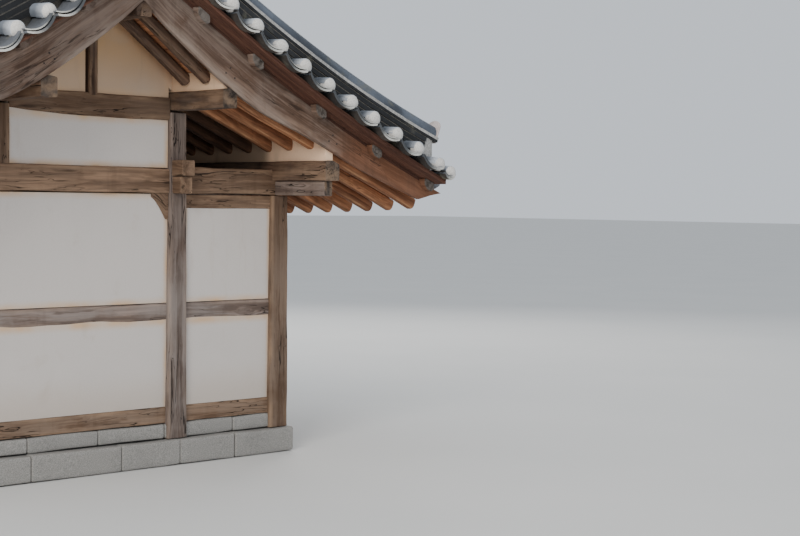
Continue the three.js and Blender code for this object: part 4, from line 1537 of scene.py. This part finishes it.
@dataclass
class RoofTimbers(Assembly):
    """The rafters of a slope, the boards on them, and the batten at their tips."""

    hand: str
    side: int
    pairs: int = 11
    rise: float = 0.055
    diameter: float = 0.128
    short_thinner: float = 0.012
    short_end: float = 0.90
    long_start: float = 0.93
    board: float = 0.19
    thickness: float = 0.03
    deck_rise: float = 0.125
    batten_x: float = 3.51
    batten_rise: float = 0.034
    batten_size: tuple[float, float, float] = (0.09, 0.07, 0.012)
    hewn: Hewn = Hewn(wander=0.005)

    def build(self) -> None:
        """Makes the slope's timbers."""
        looks = (Look.RAFTER_TIMBER, Look.DECK_TIMBER, Look.ROOF_TIMBER)
        form = Form.merged([self._rafters(), self._deck().painted(Part.END), self._batten()])
        self.put(f"{self.hand}_rafters", form, looks, "rafter_timber", f"{self.hand}_rafters_and_deck")

    def _rafters(self) -> Form:
        """A short and a long pole at each place along the ridge, the long one's head behind the filler.

        Returns:
            The poles, the short ones in the trim's slot.
        """
        side, forms = self.side, []
        head = RoofLines.LONG_TOP + RoofLines.LONG_FALL * (MIDDLE_X - self.long_start) + self.rise
        for k in range(-self.pairs, self.pairs + 1):
            y = k * SPACING
            seed = 300 + 100 * side + 2 * k
            short_shade, long_shade = np.random.default_rng(seed).uniform(-0.2, 0.2, 2)
            top, foot, tip = ([side * d, y, float(RoofLines.rafter(d, y)) + self.rise]
                              for d in (0.0, self.short_end, TIP_X))
            short = self.hewn.pole(top, foot, self.diameter - self.short_thinner, seed, 0.45 + short_shade)
            long = self.hewn.pole([side * self.long_start, y, head], tip, self.diameter, seed + 1,
                                  0.18 + long_shade / 2)
            forms += [short.painted(Part.TRIM), long]
        return Form.merged(forms)

    def _deck(self) -> Form:
        """Boards across the rafters, in rows that follow the sag of the eave.

        Returns:
            The boards.
        """
        ys = np.linspace(-BOARD_BACK + 0.001, BOARD_BACK - 0.001, 17)
        side, forms = self.side, []
        for start, end in ((0.004, MIDDLE_X), (MIDDLE_X, TIP_X)):
            edges = np.linspace(start, end, max(2, round((end - start) * 1.12 / self.board)) + 1)
            for number, (a, b) in enumerate(zip(edges, edges[1:])):
                middle = (a + b) / 2
                z = RoofLines.rafter(np.full_like(ys, middle), ys) + self.deck_rise + self.thickness / 2
                rise = float(RoofLines.rafter(b - 1e-3, BAY) - RoofLines.rafter(a + 1e-3, BAY)) / (b - a)
                length = math.hypot(1, rise)
                across = np.array([side / length, 0, rise / length])
                up = np.array([-side * rise / length, 0, 1 / length])
                section = rounded_box((b - a) * length - 0.004, self.thickness, 0.003, 2)
                seed = 500 + number + 50 * side
                tone = np.random.default_rng(seed).uniform(0, 1)
                forms.append(sweep(track(side * middle, ys, z), section, across, up, tone, seed))
        return Form.merged(forms)

    def _batten(self) -> Form:
        """The eave batten that lies on the rafter tips and carries the tile edge."""
        ys = np.linspace(-BOARD_BACK, BOARD_BACK, 25)
        z = RoofLines.rafter(np.full_like(ys, self.batten_x), ys) + RoofLines.DECK_RISE + self.batten_rise
        path = track(self.side * self.batten_x, ys, z)
        return sweep(path, rounded_box(*self.batten_size), ACROSS, UP, 0.4, 77)


@dataclass(frozen=True)
class EndLine:
    """Where a plank ends: its place at mid-height, and how far it leans out from there to the top."""

    place: float
    lean: float
    gap: float = 0.0015


@dataclass
class Bargeboard(Assembly):
    """A curved board at a gable with outriggers let into it and soffit boards on top."""

    corner: Corner
    ends: tuple[EndLine, ...] = (EndLine(0.0, 0.0), EndLine(2.8575, -0.1175), EndLine(3.53, 0.16))
    middle_y: float = 3.875
    outriggers: tuple[float, ...] = (0.59, 1.21, 1.98, 2.71, 3.44)
    half: float = 0.064
    height: float = 0.10
    bevel: float = 0.034
    ease: float = 0.012
    tip: float = 3.985
    soffit_tip: float = 4.13
    soffit_boards: int = 3
    fascia: float = 0.022
    pegs: tuple[tuple[float, float], ...] = (
        (0.03, 0.12), (0.08, 0.20), (MIDDLE_X - 0.05, 0.10), (MIDDLE_X + 0.05, 0.12), (MIDDLE_X, 0.18),
        (EAVE_X - 0.05, 0.08), (EAVE_X + 0.05, 0.10), (EAVE_X, 0.16))

    def build(self) -> None:
        """Makes the board of two planks, with its outriggers, soffit and nail heads."""
        seed = 600 + 10 * self.corner.side + self.corner.outside
        forms = [self._plank(start, end, seed + 3 * number)
                 for number, (start, end) in enumerate(zip(self.ends, self.ends[1:]))]
        forms += [self._outrigger(x, seed + number) for number, x in enumerate(self.outriggers)]
        forms += [self._soffit(seed).painted(Part.TRIM), self._pegs().painted(Part.EXTRA)]
        looks = (Look.BOARD_TIMBER, Look.END_TIMBER, Look.SOFFIT_TIMBER, Look.IRON)
        name = f"{self.corner.name}_bargeboard"
        self.put(f"{name}_planks", Form.merged(forms), looks, "timber", name)

    def _plank(self, start: EndLine, end: EndLine, seed: int) -> Form:
        """A plank between the two edge curves: a grid ruled between its two slanting end lines.

        Args:
            start: the end line nearer the ridge.
            end: the end line nearer the eave.
            seed: sets its grain and the waves of its edges.

        Returns:
            The closed plank, worn along its lower edge and darker along its upper one.
        """
        face = np.array([[-1, 0.018, 1, 0.1], [-0.95, 0.025, 1, 0.1], [-0.72, 0.025, 0.7, 0.15],
                         [-0.4, 0.025, 0, 0.3], [0, 0.025, 0, 0.4], [0.4, 0.025, 0, 0.5],
                         [0.8, 0.025, 0, 0.75], [0.95, 0.025, 0, 0.9], [1, 0.018, 0, 0.9]])
        ring_u, depth, wear, tone = np.concatenate([face, face[::-1]]).T
        ring_y = np.repeat([-1, 1], len(face)) * depth
        run = end.place - start.place
        share = np.linspace(0, 1, max(6, int(run / 0.09)))[:, None]
        d = ((start.place + start.gap + start.lean * ring_u) * (1 - share)
             + (end.place - end.gap + end.lean * ring_u) * share)
        low, high = RoofLines.board_lower(d), RoofLines.board_upper(d)
        rng = np.random.default_rng(seed)
        wave = ripple(share[:, 0] * run, rng, 0.004)[:, None] * np.where(ring_u < 0, 1, 0)
        rise = (high - low) / 2 * ring_u
        ring_y = np.broadcast_to(ring_y, d.shape)
        rings = np.stack([self.corner.side * d, self.corner.outside * (self.middle_y + ring_y),
                          (low + high) / 2 + rise + wave], axis=-1)
        grain = np.stack([d * 1.12, rise, ring_y], axis=-1) + place_in_stuff(rng)
        return loft(rings, grain, tone if self.corner.side > 0 else tone * 0.1, wear)

    def _outrigger(self, x: float, seed: int) -> Form:
        """A square timber with its lower corners bevelled, its end silvered on the right slope; on the left
        slope it is painted dark as shade, its end not silvered.

        Args:
            x: its distance from the ridge line.
            seed: sets its grain.

        Returns:
            The closed timber, its upper face along the rake.
        """
        half, height, bevel, ease = self.half, self.height, self.bevel, self.ease
        section = np.array([(-half + bevel, -height), (half - bevel, -height), (half, -height + bevel),
                            (half, -ease), (half - ease, 0), (-half + ease, 0), (-half, -ease),
                            (-half, -height + bevel)])
        rise = float(RoofLines.board_upper(x + 0.01) - RoofLines.board_upper(x - 0.01)) / 0.02
        section[:, 1] += section[:, 0] * rise * self.corner.side
        run = np.array([3.80, 3.92, self.tip - 0.012, self.tip])
        sections = np.repeat(section[None], len(run), 0)
        sections[-1] = (section - section.mean(0)) * 0.9 + section.mean(0)
        path = self.corner.track(x, run, float(RoofLines.board_upper(x)) + SOFFIT_RISE)
        # On the left slope the whole outrigger takes a dark tone and no silvered end, as painted shade.
        left = self.corner.side < 0
        form = sweep(path, sections, ACROSS, UP, 0.9 if left else 0.05, seed)
        return form if left else form.tipped(form.points[:, 1] * self.corner.outside > self.tip - 0.02)

    def _soffit(self, seed: int) -> Form:
        """Boards that follow the rake on the outriggers, the strip behind them, darkest in tone as painted
        shade, and the outer batten.

        Args:
            seed: sets their grain.

        Returns:
            The boards.
        """
        d = np.linspace(0.0, TIP_X, 30)
        z = RoofLines.board_upper(d) + SOFFIT_RISE
        edges = np.linspace(BOARD_BACK, self.soffit_tip, self.soffit_boards + 1)
        laths = [((a + b) / 2, 0.0125, (b - a - 0.004, 0.025, 0.003, 2), 0.05 + 0.15 * number, number)
                 for number, (a, b) in enumerate(zip(edges, edges[1:]))]
        batten = self.soffit_tip - 0.013, 0.026 + self.fascia / 2, (0.024, self.fascia, 0.005), 1.0, 9
        # The strip behind the boards takes the darkest tone as painted shade in the gap over the bargeboard.
        laths += [(3.872, -0.017, (0.04, 0.034, 0.003), 1.0, 8), batten]
        return Form.merged([sweep(self.corner.track(d, y, z + rise), rounded_box(*box), ALONG, UP, tone,
                                  seed + number) for y, rise, box, tone, number in laths])

    def _pegs(self) -> Form:
        """Nail heads where the board is fixed to each purlin end.

        Returns:
            The heads.
        """
        run = np.array([3.895, 3.902, 3.904])
        section = grown(circle(8), np.array([0.009, 0.009, 0.004]))
        paths = [self.corner.track(x, run, float(RoofLines.board_lower(x)) + lift) for x, lift in self.pegs]
        return Form.merged([sweep(path, section, ACROSS, UP, 0.5, 3) for path in paths])


@dataclass
class TileSlope(Assembly):
    """A tiled slope: a bed, hollow tiles laid in rows down the slope, and round ones over their seams."""

    hand: str
    side: int
    round_radius: float = 0.08
    swell: float = 0.007
    tile_length: float = 0.28
    lap: float = 0.14
    top_x: float = 0.13
    column_count: int = 22
    corner_y: float = 3.79
    gap: float = 0.001
    bed_end_y: float = 4.10
    bed_end_x: float = 3.50
    bed_depth: float = 0.185

    def build(self) -> None:
        """Makes the bed, the hollow and round tiles and the mortar ends."""
        self.put(f"{self.hand}_tile_bed", self._bed(), (Look.EARTH,), "roof_tile", f"{self.hand}_tile_field",
                 smooth=False)
        self.put(f"{self.hand}_hollow_tiles", self._hollow(), (Look.TILE,), "roof_tile")
        self.put(f"{self.hand}_round_tiles", self._round(), (Look.TILE, Look.MORTAR), "roof_tile")

    def _bed(self) -> Form:
        """The earth under the tiles: inside the gables on the roof boards, outside on the soffit.

        Returns:
            The closed bed.
        """
        past = BOARD_BACK + 0.003
        ys = np.concatenate([[-self.bed_end_y, -past], np.linspace(-BOARD_BACK, BOARD_BACK, 15),
                             [past, self.bed_end_y]])
        d = np.concatenate([np.linspace(0.002, MIDDLE_X, 5), np.linspace(MIDDLE_X, self.bed_end_x, 14)[1:]])

        def bottom(gx: Array, gy: Array) -> Array:
            """The soffit past the bargeboard's back, the roof boards elsewhere."""
            boards = RoofLines.rafter(gx, gy) + RoofLines.DECK_RISE - 0.004
            soffit = RoofLines.board_upper(gx) + SOFFIT_RISE + 0.03
            return np.where(np.abs(gy) > BOARD_BACK + 0.001, soffit, boards)

        def top(gx: Array, gy: Array) -> Array:
            """A bed's depth under the tiles, and never under the bottom."""
            return np.maximum(RoofLines.tile(gx, gy) - self.bed_depth, bottom(gx, gy) + 0.004)

        return slab((self.side * d)[::self.side], ys, bottom, top, 5)

    def _row(self, y: float, end: float, unit: float) -> tuple[int, Array]:
        """The tiles of one row down the slope: how many, and the lengths to both ends of each."""
        length = RoofLines.length(y, self.top_x, end)
        return round(length / unit), unit_ends(0, length, round(length / unit), self.gap)

    def _columns(self) -> Array:
        """Places along the ridge of the round tiles' rows, even about mid-length."""
        return (np.arange(self.column_count) - (self.column_count - 1) / 2) * TILE_PITCH

    def _round(self) -> Form:
        """Round tiles: a half circle whose radius grows by a few millimetres over each tile.

        Returns:
            The tiles, with a mortar plug at the foot of each row.
        """
        half_circle = polar(np.linspace(0, math.pi, 8))
        forms = []
        rng = np.random.default_rng(40 + self.side)
        for number, y in enumerate(self._columns()):
            count, runs = self._row(y, EDGE_X - 0.03, self.tile_length)
            spot, along, square = RoofLines.stations(self.side, y, self.top_x, runs)
            radius = np.tile([self.round_radius - self.swell, self.round_radius], count)
            shake = np.repeat(rng.normal(0, 0.0025, (count, 1)), 2, 0)
            path = spot - square * self.round_radius + ALONG * shake
            tone = np.repeat(rng.uniform(0, 1, count), 2)
            forms.append(sweep(path, grown(half_circle, radius), ALONG, square, tone[:, None], 700 + number))
            plug = mortar_end(path[-1], along[-1], square[-1], self.round_radius * 0.97, 0.014, 900 + number)
            forms.append(plug.painted(Part.END))
        return Form.merged(forms)

    def _hollow(self) -> Form:
        """Hollow tiles: a shallow arc, each lapping over the next by half its length.

        Returns:
            The tiles between the round ones, at both ends, and in the corners at the eave.
        """
        forms = []
        rng = np.random.default_rng(60 + self.side)
        edge = self._columns()
        centres = np.concatenate([[edge[0] - 0.115], (edge[1:] + edge[:-1]) / 2, [edge[-1] + 0.115],
                                  [-self.corner_y, self.corner_y]])
        widths = np.concatenate([[0.20], np.full(len(edge) - 1, TILE_PITCH - 0.02), [0.20, 0.23, 0.23]])
        for number, (y, width) in enumerate(zip(centres, widths)):
            count, runs = self._row(y, EDGE_X - 0.005, self.lap)
            spot, _, square = RoofLines.stations(self.side, y, self.top_x, runs)
            lift = np.tile([-0.014, 0.006], count) + np.repeat(rng.normal(0, 0.0015, count), 2)
            path = spot + square * (lift - self.round_radius - 0.005)[:, None]
            tone = np.repeat(rng.uniform(0, 1, count), 2)
            last = slice(-6 if abs(y) >= self.corner_y else 0, None)
            forms.append(sweep(path[last], trough(width, 0.048, 0.022), ALONG, square[last], tone[last, None],
                               800 + number))
        return Form.merged(forms)


def mortar_end(centre: Array, along: Array, up: Array, radius: float, dome: float, seed: int,
               full: bool = False) -> Form:
    """A plug of mortar in a round tile's end: a disc that swells to a low dome.

    Its outline is a circle, or the upper half of one with a sagging foot, and the dome follows a
    quarter circle from the rim to the middle.

    Args:
        centre: middle of the tile's end.
        along: direction out of the tile.
        up: direction square to the slope.
        radius: the tile's inner radius.
        dome: how far it swells.
        seed: sets its uneven outline.
        full: whether the whole disc shows.

    Returns:
        The closed plug.
    """
    rng = np.random.default_rng(seed)
    turn = np.linspace(0, 2 * math.pi, 18, endpoint=False)
    waves = [0.03 * np.sin(3 * turn + rng.uniform(0, 6)), 0.02 * np.sin(5 * turn + rng.uniform(0, 6))]
    outline = polar(turn) * (1 + waves[0] + waves[1])[:, None]
    if not full:
        outline[:, 1] *= np.where(outline[:, 1] < 0, 0.45, 1)
    run = np.array([-0.05, 0.0, 0.45 * dome, 0.85 * dome, dome])
    share = np.array([0.98, 1.0, 0.9, 0.55, 0.15])
    return sweep(centre + run[:, None] * along, grown(outline, radius * share), np.cross(along, up), up,
                 rng.uniform(0, 0.6), seed)


@dataclass
class VergeTiles(Assembly):
    """Tiles laid square to the gable along a rake, with mortar in the ends of the round ones.

    Each layer of hollow tiles gives its drop, how far it is set back, and its thickness.
    """

    corner: Corner
    inner_y: float = 3.90
    end_y: float = 4.125
    lip_y: float = 4.214
    radius: float = 0.074
    dome: float = 0.038
    lifts: tuple[float, float] = (-0.025, 0.038)
    lip_lift: float = 0.035
    first_x: float = 0.19
    last_x: float = 3.60
    drop_from: float = 3.3
    last_drop: float = 0.045
    matched_x: float = 1.082
    pitch: float = 0.331
    layers: tuple[tuple[float, float, float], ...] = ((0.040, 0.010, 0.012), (0.062, 0.0, 0.020))
    points: int = 8

    def build(self) -> None:
        """Makes the verge."""
        looks = (Look.VERGE_TILE, Look.MORTAR, Look.RIM_TILE, Look.TILE, Look.HOLLOW_TILE)
        rng = np.random.default_rng(1000 + 10 * self.corner.side + self.corner.outside)
        runs = self._runs(self.corner.outside * self.end_y)
        forms = self._round(runs, rng) + self._hollow(runs, rng)
        self.put(f"{self.corner.name}_verge_tiles", Form.merged(forms), looks, "roof_tile")

    def _runs(self, y: float) -> Array:
        """Lengths from the top to each round tile, set to pass through the matched one."""
        to_matched, total = (RoofLines.length(y, self.first_x, x)
                             for x in (self.matched_x, self.last_x))
        return np.append(np.arange(to_matched % self.pitch, total - self.pitch * 0.2, self.pitch), total)

    def _spots(self, runs: Array) -> tuple[Array, Array, Array]:
        """Places over the inner edge of the verge, with the directions along and square to the slope.

        Args:
            runs: lengths from the top.

        Returns:
            Points, directions along the slope and directions square to it, the last point let down.
        """
        side, outside = self.corner.side, self.corner.outside
        spot, along, square = RoofLines.stations(side, outside * self.end_y, self.first_x, runs)
        past = (np.abs(spot[:, 0]) - self.drop_from) / (self.last_x - self.drop_from)
        spot[:, 1] = outside * self.inner_y
        spot[:, 2] += self.lifts[side > 0]
        spot[:, 2] -= self.last_drop * np.clip(past, 0, 1)
        return spot, along, square

    def _round(self, runs: Array, rng: np.random.Generator) -> list[Form]:
        """The round tiles: a little more than a half circle, in two lengths, with a mortar plug.

        Args:
            runs: lengths from the top.
            rng: the source of their unevenness.

        Returns:
            A tile and a plug for each length.
        """
        reach = np.array([0, 0.108, 0.110, self.end_y - self.inner_y])[:, None]
        rise = np.array([0.022, 0.012, 0.008, 0])[:, None]
        arc = polar(np.linspace(-0.3, math.pi + 0.3, 12))
        forms = []
        for spot, along, square in zip(*self._spots(runs)):
            path = spot + self.corner.out * reach + rise * square + along * rng.normal(0, 0.004)
            radius = self.radius * np.array([0.92, 0.95, 0.99, 1.0]) * rng.uniform(0.97, 1.01)
            # Painted light: each round tile darker at its inner end and paler at its outer end, as a
            # highlight.
            tone = np.array([0.0, 0.3, 0.4, 0.7]) + rng.uniform(-0.1, 0.1)
            seed = int(rng.integers(1e6))
            forms.append(sweep(path, grown(arc, radius), along, square, tone[:, None], seed))
            foot, size = path[-1] - self.corner.out * 0.006, self.radius * rng.uniform(0.93, 1.0)
            plug = mortar_end(foot, self.corner.out, square, size, self.dome, seed + 1, full=True)
            forms.append(plug.painted(Part.END))
        return forms

    def _hollow(self, runs: Array, rng: np.random.Generator) -> list[Form]:
        """Two layers of hollow tiles between the round ones, their undersides painted dark as shade and their
        lip ends painted pale as a highlight.

        Args:
            runs: lengths from the top.
            rng: the source of their unevenness.

        Returns:
            The tiles.
        """
        reach = self.lip_y - self.inner_y
        under = np.arange(2 * self.points) < self.points - 1
        # Underside faces take the dark slot as painted shade.
        sides = np.tile(np.where(under, Part.JOINT, Part.EXTRA), 2)
        forms = []
        spots = self._spots((runs[1:] + runs[:-1]) / 2)
        for spot, along, square, gap in zip(*spots, np.diff(runs)):
            for drop, back, thickness in self.layers:
                drop -= self.lip_lift * (self.corner.side < 0)
                start = spot - square * (drop + rng.normal(0, 0.002)) + along * rng.normal(0, 0.004)
                path = start + self.corner.out * np.array([0, reach - 0.01 - back, reach - back])[:, None]
                depth = 0.056 * min(1, gap / self.pitch)
                section = trough(max(0.1, gap - 0.035), depth, thickness, self.points)
                # Painted light: each hollow tile darker on its uphill side and paler on its downhill side.
                tone = np.clip(0.45 + 3.5 * section[:, 0] + rng.uniform(-0.2, 0.2), 0, 1)
                form = sweep(path, section, along, square, tone[None], int(rng.integers(1e6)))
                form = form.painted(Part.EXTRA)
                form.paint[:len(sides)] = sides
                # The lip end faces take the pale slot as a painted highlight.
                past = form.points[:, 1] * self.corner.outside > self.lip_y - back - 0.004
                forms.append(form.tipped(past, Part.TRIM))
        return forms


@dataclass(frozen=True)
class Course:
    """One level of a stacked ridge: its half width, its top and its paint."""

    half: float
    top: float
    paint: Part


@dataclass
class Ridges(Assembly):
    """Ridges of flat courses with pale joints between them, under a row of round tiles."""

    joint: float = 0.0015

    @staticmethod
    def stack(path: Array, side: Array, up: Array, courses: tuple[Course, ...], round_half: float,
              crest: Values, seed: int, foot: float = 0.0) -> Form:
        """Carries the stack's outline along a path, each unit of length a little off its neighbours.

        Args:
            path: (m, 3) stations, two for each unit.
            side: direction of the width.
            up: direction or directions of the height.
            courses: the levels from the bottom up.
            round_half: half width of the top row.
            crest: height of the top row's crown, one or one for each station.
            seed: sets its unevenness.
            foot: height of the underside.

        Returns:
            The painted stack.
        """
        right, paints, top = [], [], foot
        for course in courses:
            right += [(course.half, top), (course.half, course.top)]
            paints += [course.paint, Part.BODY]
            top = course.top
        crown = polar(np.linspace(0, math.pi / 2, 6)) * (round_half, 1 - top) + (0, top)
        right = np.concatenate([right, crown])
        section = np.concatenate([right, right[::-1] * (-1, 1)])
        paints += [Part.TRIM] * len(crown)
        paints += paints[::-1][1:] + [Part.BODY]
        rng = np.random.default_rng(seed)
        m, n = len(path), len(section)
        sections = np.repeat(section[None], m, 0)
        above = section[:, 1] > top
        rise = (np.broadcast_to(crest, m) - top)[:, None]
        sections[:, above, 1] = top + (section[above, 1] - top) / (1 - top) * rise
        levels = rng.normal(0, 0.003, (m // 2, n))
        shake = np.repeat((levels - levels[:, ::-1]) / 2, 2, 0)
        swell = np.tile([0.975, 1.02], m // 2)[:, None]
        sections[..., 0] = np.where(above, sections[..., 0] * swell, sections[..., 0] + shake)
        form = sweep(path, sections, side, up, np.repeat(rng.uniform(0, 1, (m // 2, n)), 2, 0), seed)
        form.paint[:(m - 1) * n] = np.tile(paints, m - 1)
        return form

    @staticmethod
    def courses(half: float, tops: tuple[float, ...], bright: float) -> tuple[Course, ...]:
        """Flat tiles up to the given tops, with thin dull joints between them, under one course painted pale
        as a highlight.
        """
        levels = [Course(half - back, top + rise, part) for top in tops[:-1]
                  for back, rise, part in ((0.0, 0.0, Part.BODY), (0.011, 0.012, Part.JOINT))]
        return (*levels, Course(half, tops[-1], Part.BODY), Course(half + 0.004, bright, Part.END))

    @staticmethod
    def plate(path: Array, half: float, shoulder: float, rise: float, side: Array, up: Array) -> Form:
        """An arched end plate: straight sides up to its shoulder, then half an ellipse.

        Args:
            path: (4, 3) places of its foot through its thickness.
            half: half its width.
            shoulder: height of its straight sides.
            rise: height of the arch over them.
            side: direction of the width.
            up: direction of the height.

        Returns:
            The closed plate, its rims eased.
        """
        arch = polar(np.linspace(0, math.pi, 12)) * (half, rise) + (0, shoulder)
        outline = np.concatenate([[(half, 0.0)], arch, [(-half, 0.0)]])
        middle = np.array([0, shoulder / 2])
        sections = grown(outline - middle, np.array([0.96, 1.0, 1.0, 0.96])) + middle
        return sweep(path, sections, side, up, 0.6, 41).painted(Part.EXTRA)


@dataclass
class SlopeRidge(Ridges):
    """A ridge that runs down beside a gable, on a mortar block and with an upright end plate."""

    corner: Corner = CORNERS[0]
    y: float = 3.80
    start: float = 0.14
    low_end: float = 3.33
    end: float = 3.477
    unit: float = 0.27
    crest: float = 0.412
    split: float = 0.215
    end_rise: float = 0.08
    sink: float = 0.012
    half: float = 0.138
    tops: tuple[float, ...] = (0.05, 0.105, 0.160, 0.215, 0.25)
    # Top of the course painted pale as a highlight.
    bright: float = 0.278
    bed_half: tuple[float, float] = (-0.125, 0.085)
    block: tuple[float, float, float] = (3.24, 3.55, 3.225)
    dressing: Hewn = Hewn(corner=0.03, wander=0.004, nose=0.01)

    def build(self) -> None:
        """Makes the stack in two lengths, its end plate and the mortar under it."""
        levels = self.courses(self.half, self.tops, self.bright)
        lower = tuple(level for level in levels if level.top <= self.split + 0.013)
        upper = levels[len(lower):]
        seed = 1500 + 7 * self.corner.side + self.corner.outside
        path, _, square = self._path(self.low_end)
        parts = [self.stack(path, ALONG, square, lower, 0.12, self.split + 0.03, seed)]
        path, along, square = self._path(self.end)
        parts.append(self.stack(path, ALONG, square, upper, 0.09, self.crest, seed + 1, lower[-1].top))
        run = path[-1] + square[-1] * 0.225 + along[-1] * np.array([[0.0], [0.004], [0.018], [0.022]])
        parts += [self.plate(run, 0.10, 0.17, 0.085, ALONG, square[-1]), self._block(), self._bed()]
        name = f"{self.corner.name}_slope_ridge"
        self.put(f"{name}_tiles", Form.merged(parts), RIDGE_LOOKS, "roof_tile", name)

    def _raised(self, x: Array) -> Array:
        """The lift towards the eave: the square of the share of the way, times its end's lift."""
        return self.end_rise * ((np.abs(x) - self.start) / (EDGE_X - self.start)) ** 2

    def _path(self, end: float) -> tuple[Array, Array, Array]:
        """Stations two to a unit, lifted towards the eave.

        Args:
            end: distance from the ridge line where the run ends.

        Returns:
            Points, directions along and directions square to the slope.
        """
        y = self.corner.outside * self.y
        length = RoofLines.length(y, self.start, end)
        runs = unit_ends(0, length, round(length / self.unit), self.joint)
        spot, along, square = RoofLines.stations(self.corner.side, y, self.start, runs)
        return spot + (self._raised(spot[:, 0]) - self.sink)[:, None] * square, along, square

    def _bed(self) -> Form:
        """The mortar between the stack and the roof, set back a little under its lowest course."""
        side = self.corner.side
        ys = np.sort(self.corner.outside * (self.y + np.array(self.bed_half)))
        xs = side * np.linspace(self.start + 0.01, self.block[0] + 0.1, 14)[::side]
        return slab(xs, ys, lifted(RoofLines.tile, -0.19),
                    lambda gx, gy: RoofLines.tile(gx, gy) + self._raised(gx) + 0.005, 4).painted(Part.JOINT)

    def _block(self) -> Form:
        """The mortar block under the overhanging end: an upright box on the tiles."""
        start, end, top = self.block
        foot = float(RoofLines.tile(start, self.corner.outside * self.y)) - 0.10
        ends = self.corner.track((start + end) / 2, self.y, np.array([foot, top]))
        return self.dressing.bar(*ends, end - start, 0.25, 43, 0.3).painted(Part.END)


@dataclass
class MainRidge(Ridges):
    """The ridge along the top, taller towards its ends, with an end plate at each."""

    half_length: float = 4.12
    unit: float = 0.28
    half: float = 0.15
    tops: tuple[float, ...] = (0.14, 0.19, 0.24, 0.29, 0.335)
    # Top of the course painted pale as a highlight.
    height: float = 0.36
    crest: float = 0.458
    foot: float = -0.10
    end_rise: float = 0.15
    rise_over: float = 4.16
    plate_z: float = 4.78

    def build(self) -> None:
        """Makes the stack and its two plates."""
        count = round(2 * self.half_length / self.unit)
        ys = unit_ends(-self.half_length, self.half_length, count, self.joint)
        lift = self._raised(ys)
        path = track(0.0, ys, RoofLines.tile(0.0, ys) + self.foot + lift * 0.9)
        courses = self.courses(self.half, self.tops, self.height)
        parts = [self.stack(path, ACROSS, UP, courses, 0.09, self.crest + lift * 0.1, 1700), self._base()]
        for sign in (-1, 1):
            run = sign * (self.half_length + np.array([0.0, 0.006, 0.03, 0.036]))
            parts.append(self.plate(track(0.0, run, self.plate_z), 0.147, 0.40, 0.105, ACROSS, UP))
        self.put("main_ridge_tiles", Form.merged(parts), RIDGE_LOOKS, "roof_tile", "main_ridge")

    def _raised(self, y: Array) -> Array:
        """The lift towards the ends: the 2.5th power of the share of the way, times its end's lift."""
        return self.end_rise * (np.abs(y) / self.rise_over) ** 2.5

    def _base(self) -> Form:
        """The mortar bed that closes the gap between the two slopes under the stack."""
        xs, ys = np.array([-0.14, 0.0, 0.14]), np.linspace(-self.half_length, self.half_length, 15)
        form = slab(xs, ys, lifted(RoofLines.tile, -0.12),
                    lambda gx, gy: RoofLines.tile(0 * gx, gy) + 0.07 + self._raised(gy) * 0.9, 3)
        return form.painted(Part.JOINT)


@dataclass
class Doorway(Assembly):
    """The frame of the open doorway from the porch into the room, which has no leaf."""

    middle: float = -1.5
    half_width: float = 0.65
    horn: float = 0.07
    top: float = 2.30
    jamb: float = 0.09
    depth: float = 0.15
    lap: float = 0.01
    hewn: Hewn = Hewn(corner=0.008, wander=0.002)

    def build(self) -> None:
        """Makes the two jambs, the head and the sill."""
        x, forms = MIDDLE_X, []
        for number, sign in enumerate((-1, 1)):
            y = self.middle + sign * (self.half_width - self.jamb / 2 + self.lap)
            ends = [[x, y, FLOOR_TOP + 0.005], [x, y, self.top + self.lap]]
            forms.append(self.hewn.bar(*ends, self.depth, self.jamb, 130 + number))
        reach = self.half_width + self.horn
        for number, z in enumerate((self.top - self.jamb / 2 + self.lap, FLOOR_TOP + self.jamb / 2)):
            ends = [[x, self.middle - reach, z], [x, self.middle + reach, z]]
            forms.append(self.hewn.bar(*ends, self.depth + self.lap, self.jamb, 135 + number))
        self.put("doorway_frame", Form.merged(forms), (Look.FRAME_TIMBER,), "timber")


def main() -> None:
    """Builds the studio and every sub-assembly in order, then notes the sizes."""
    logging.basicConfig(level=logging.INFO, format="%(message)s")
    effects = Effects()
    materials = {look: look.value.build(effects) for look in Look}
    Studio().build()
    assemblies = [kind(materials) for kind in (Walls, Footing, Floor, Frame, Purlins)]
    assemblies += [RoofTimbers(materials, *slope) for slope in SIDES.items()]
    assemblies += [Bargeboard(materials, corner) for corner in CORNERS]
    assemblies += [TileSlope(materials, *slope) for slope in SIDES.items()]
    assemblies += [VergeTiles(materials, corner) for corner in CORNERS]
    assemblies += [SlopeRidge(materials, corner=corner) for corner in CORNERS]
    for assembly in (*assemblies, MainRidge(materials), Doorway(materials)):
        assembly.build()
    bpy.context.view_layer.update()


if __name__ == "__main__":
    main()
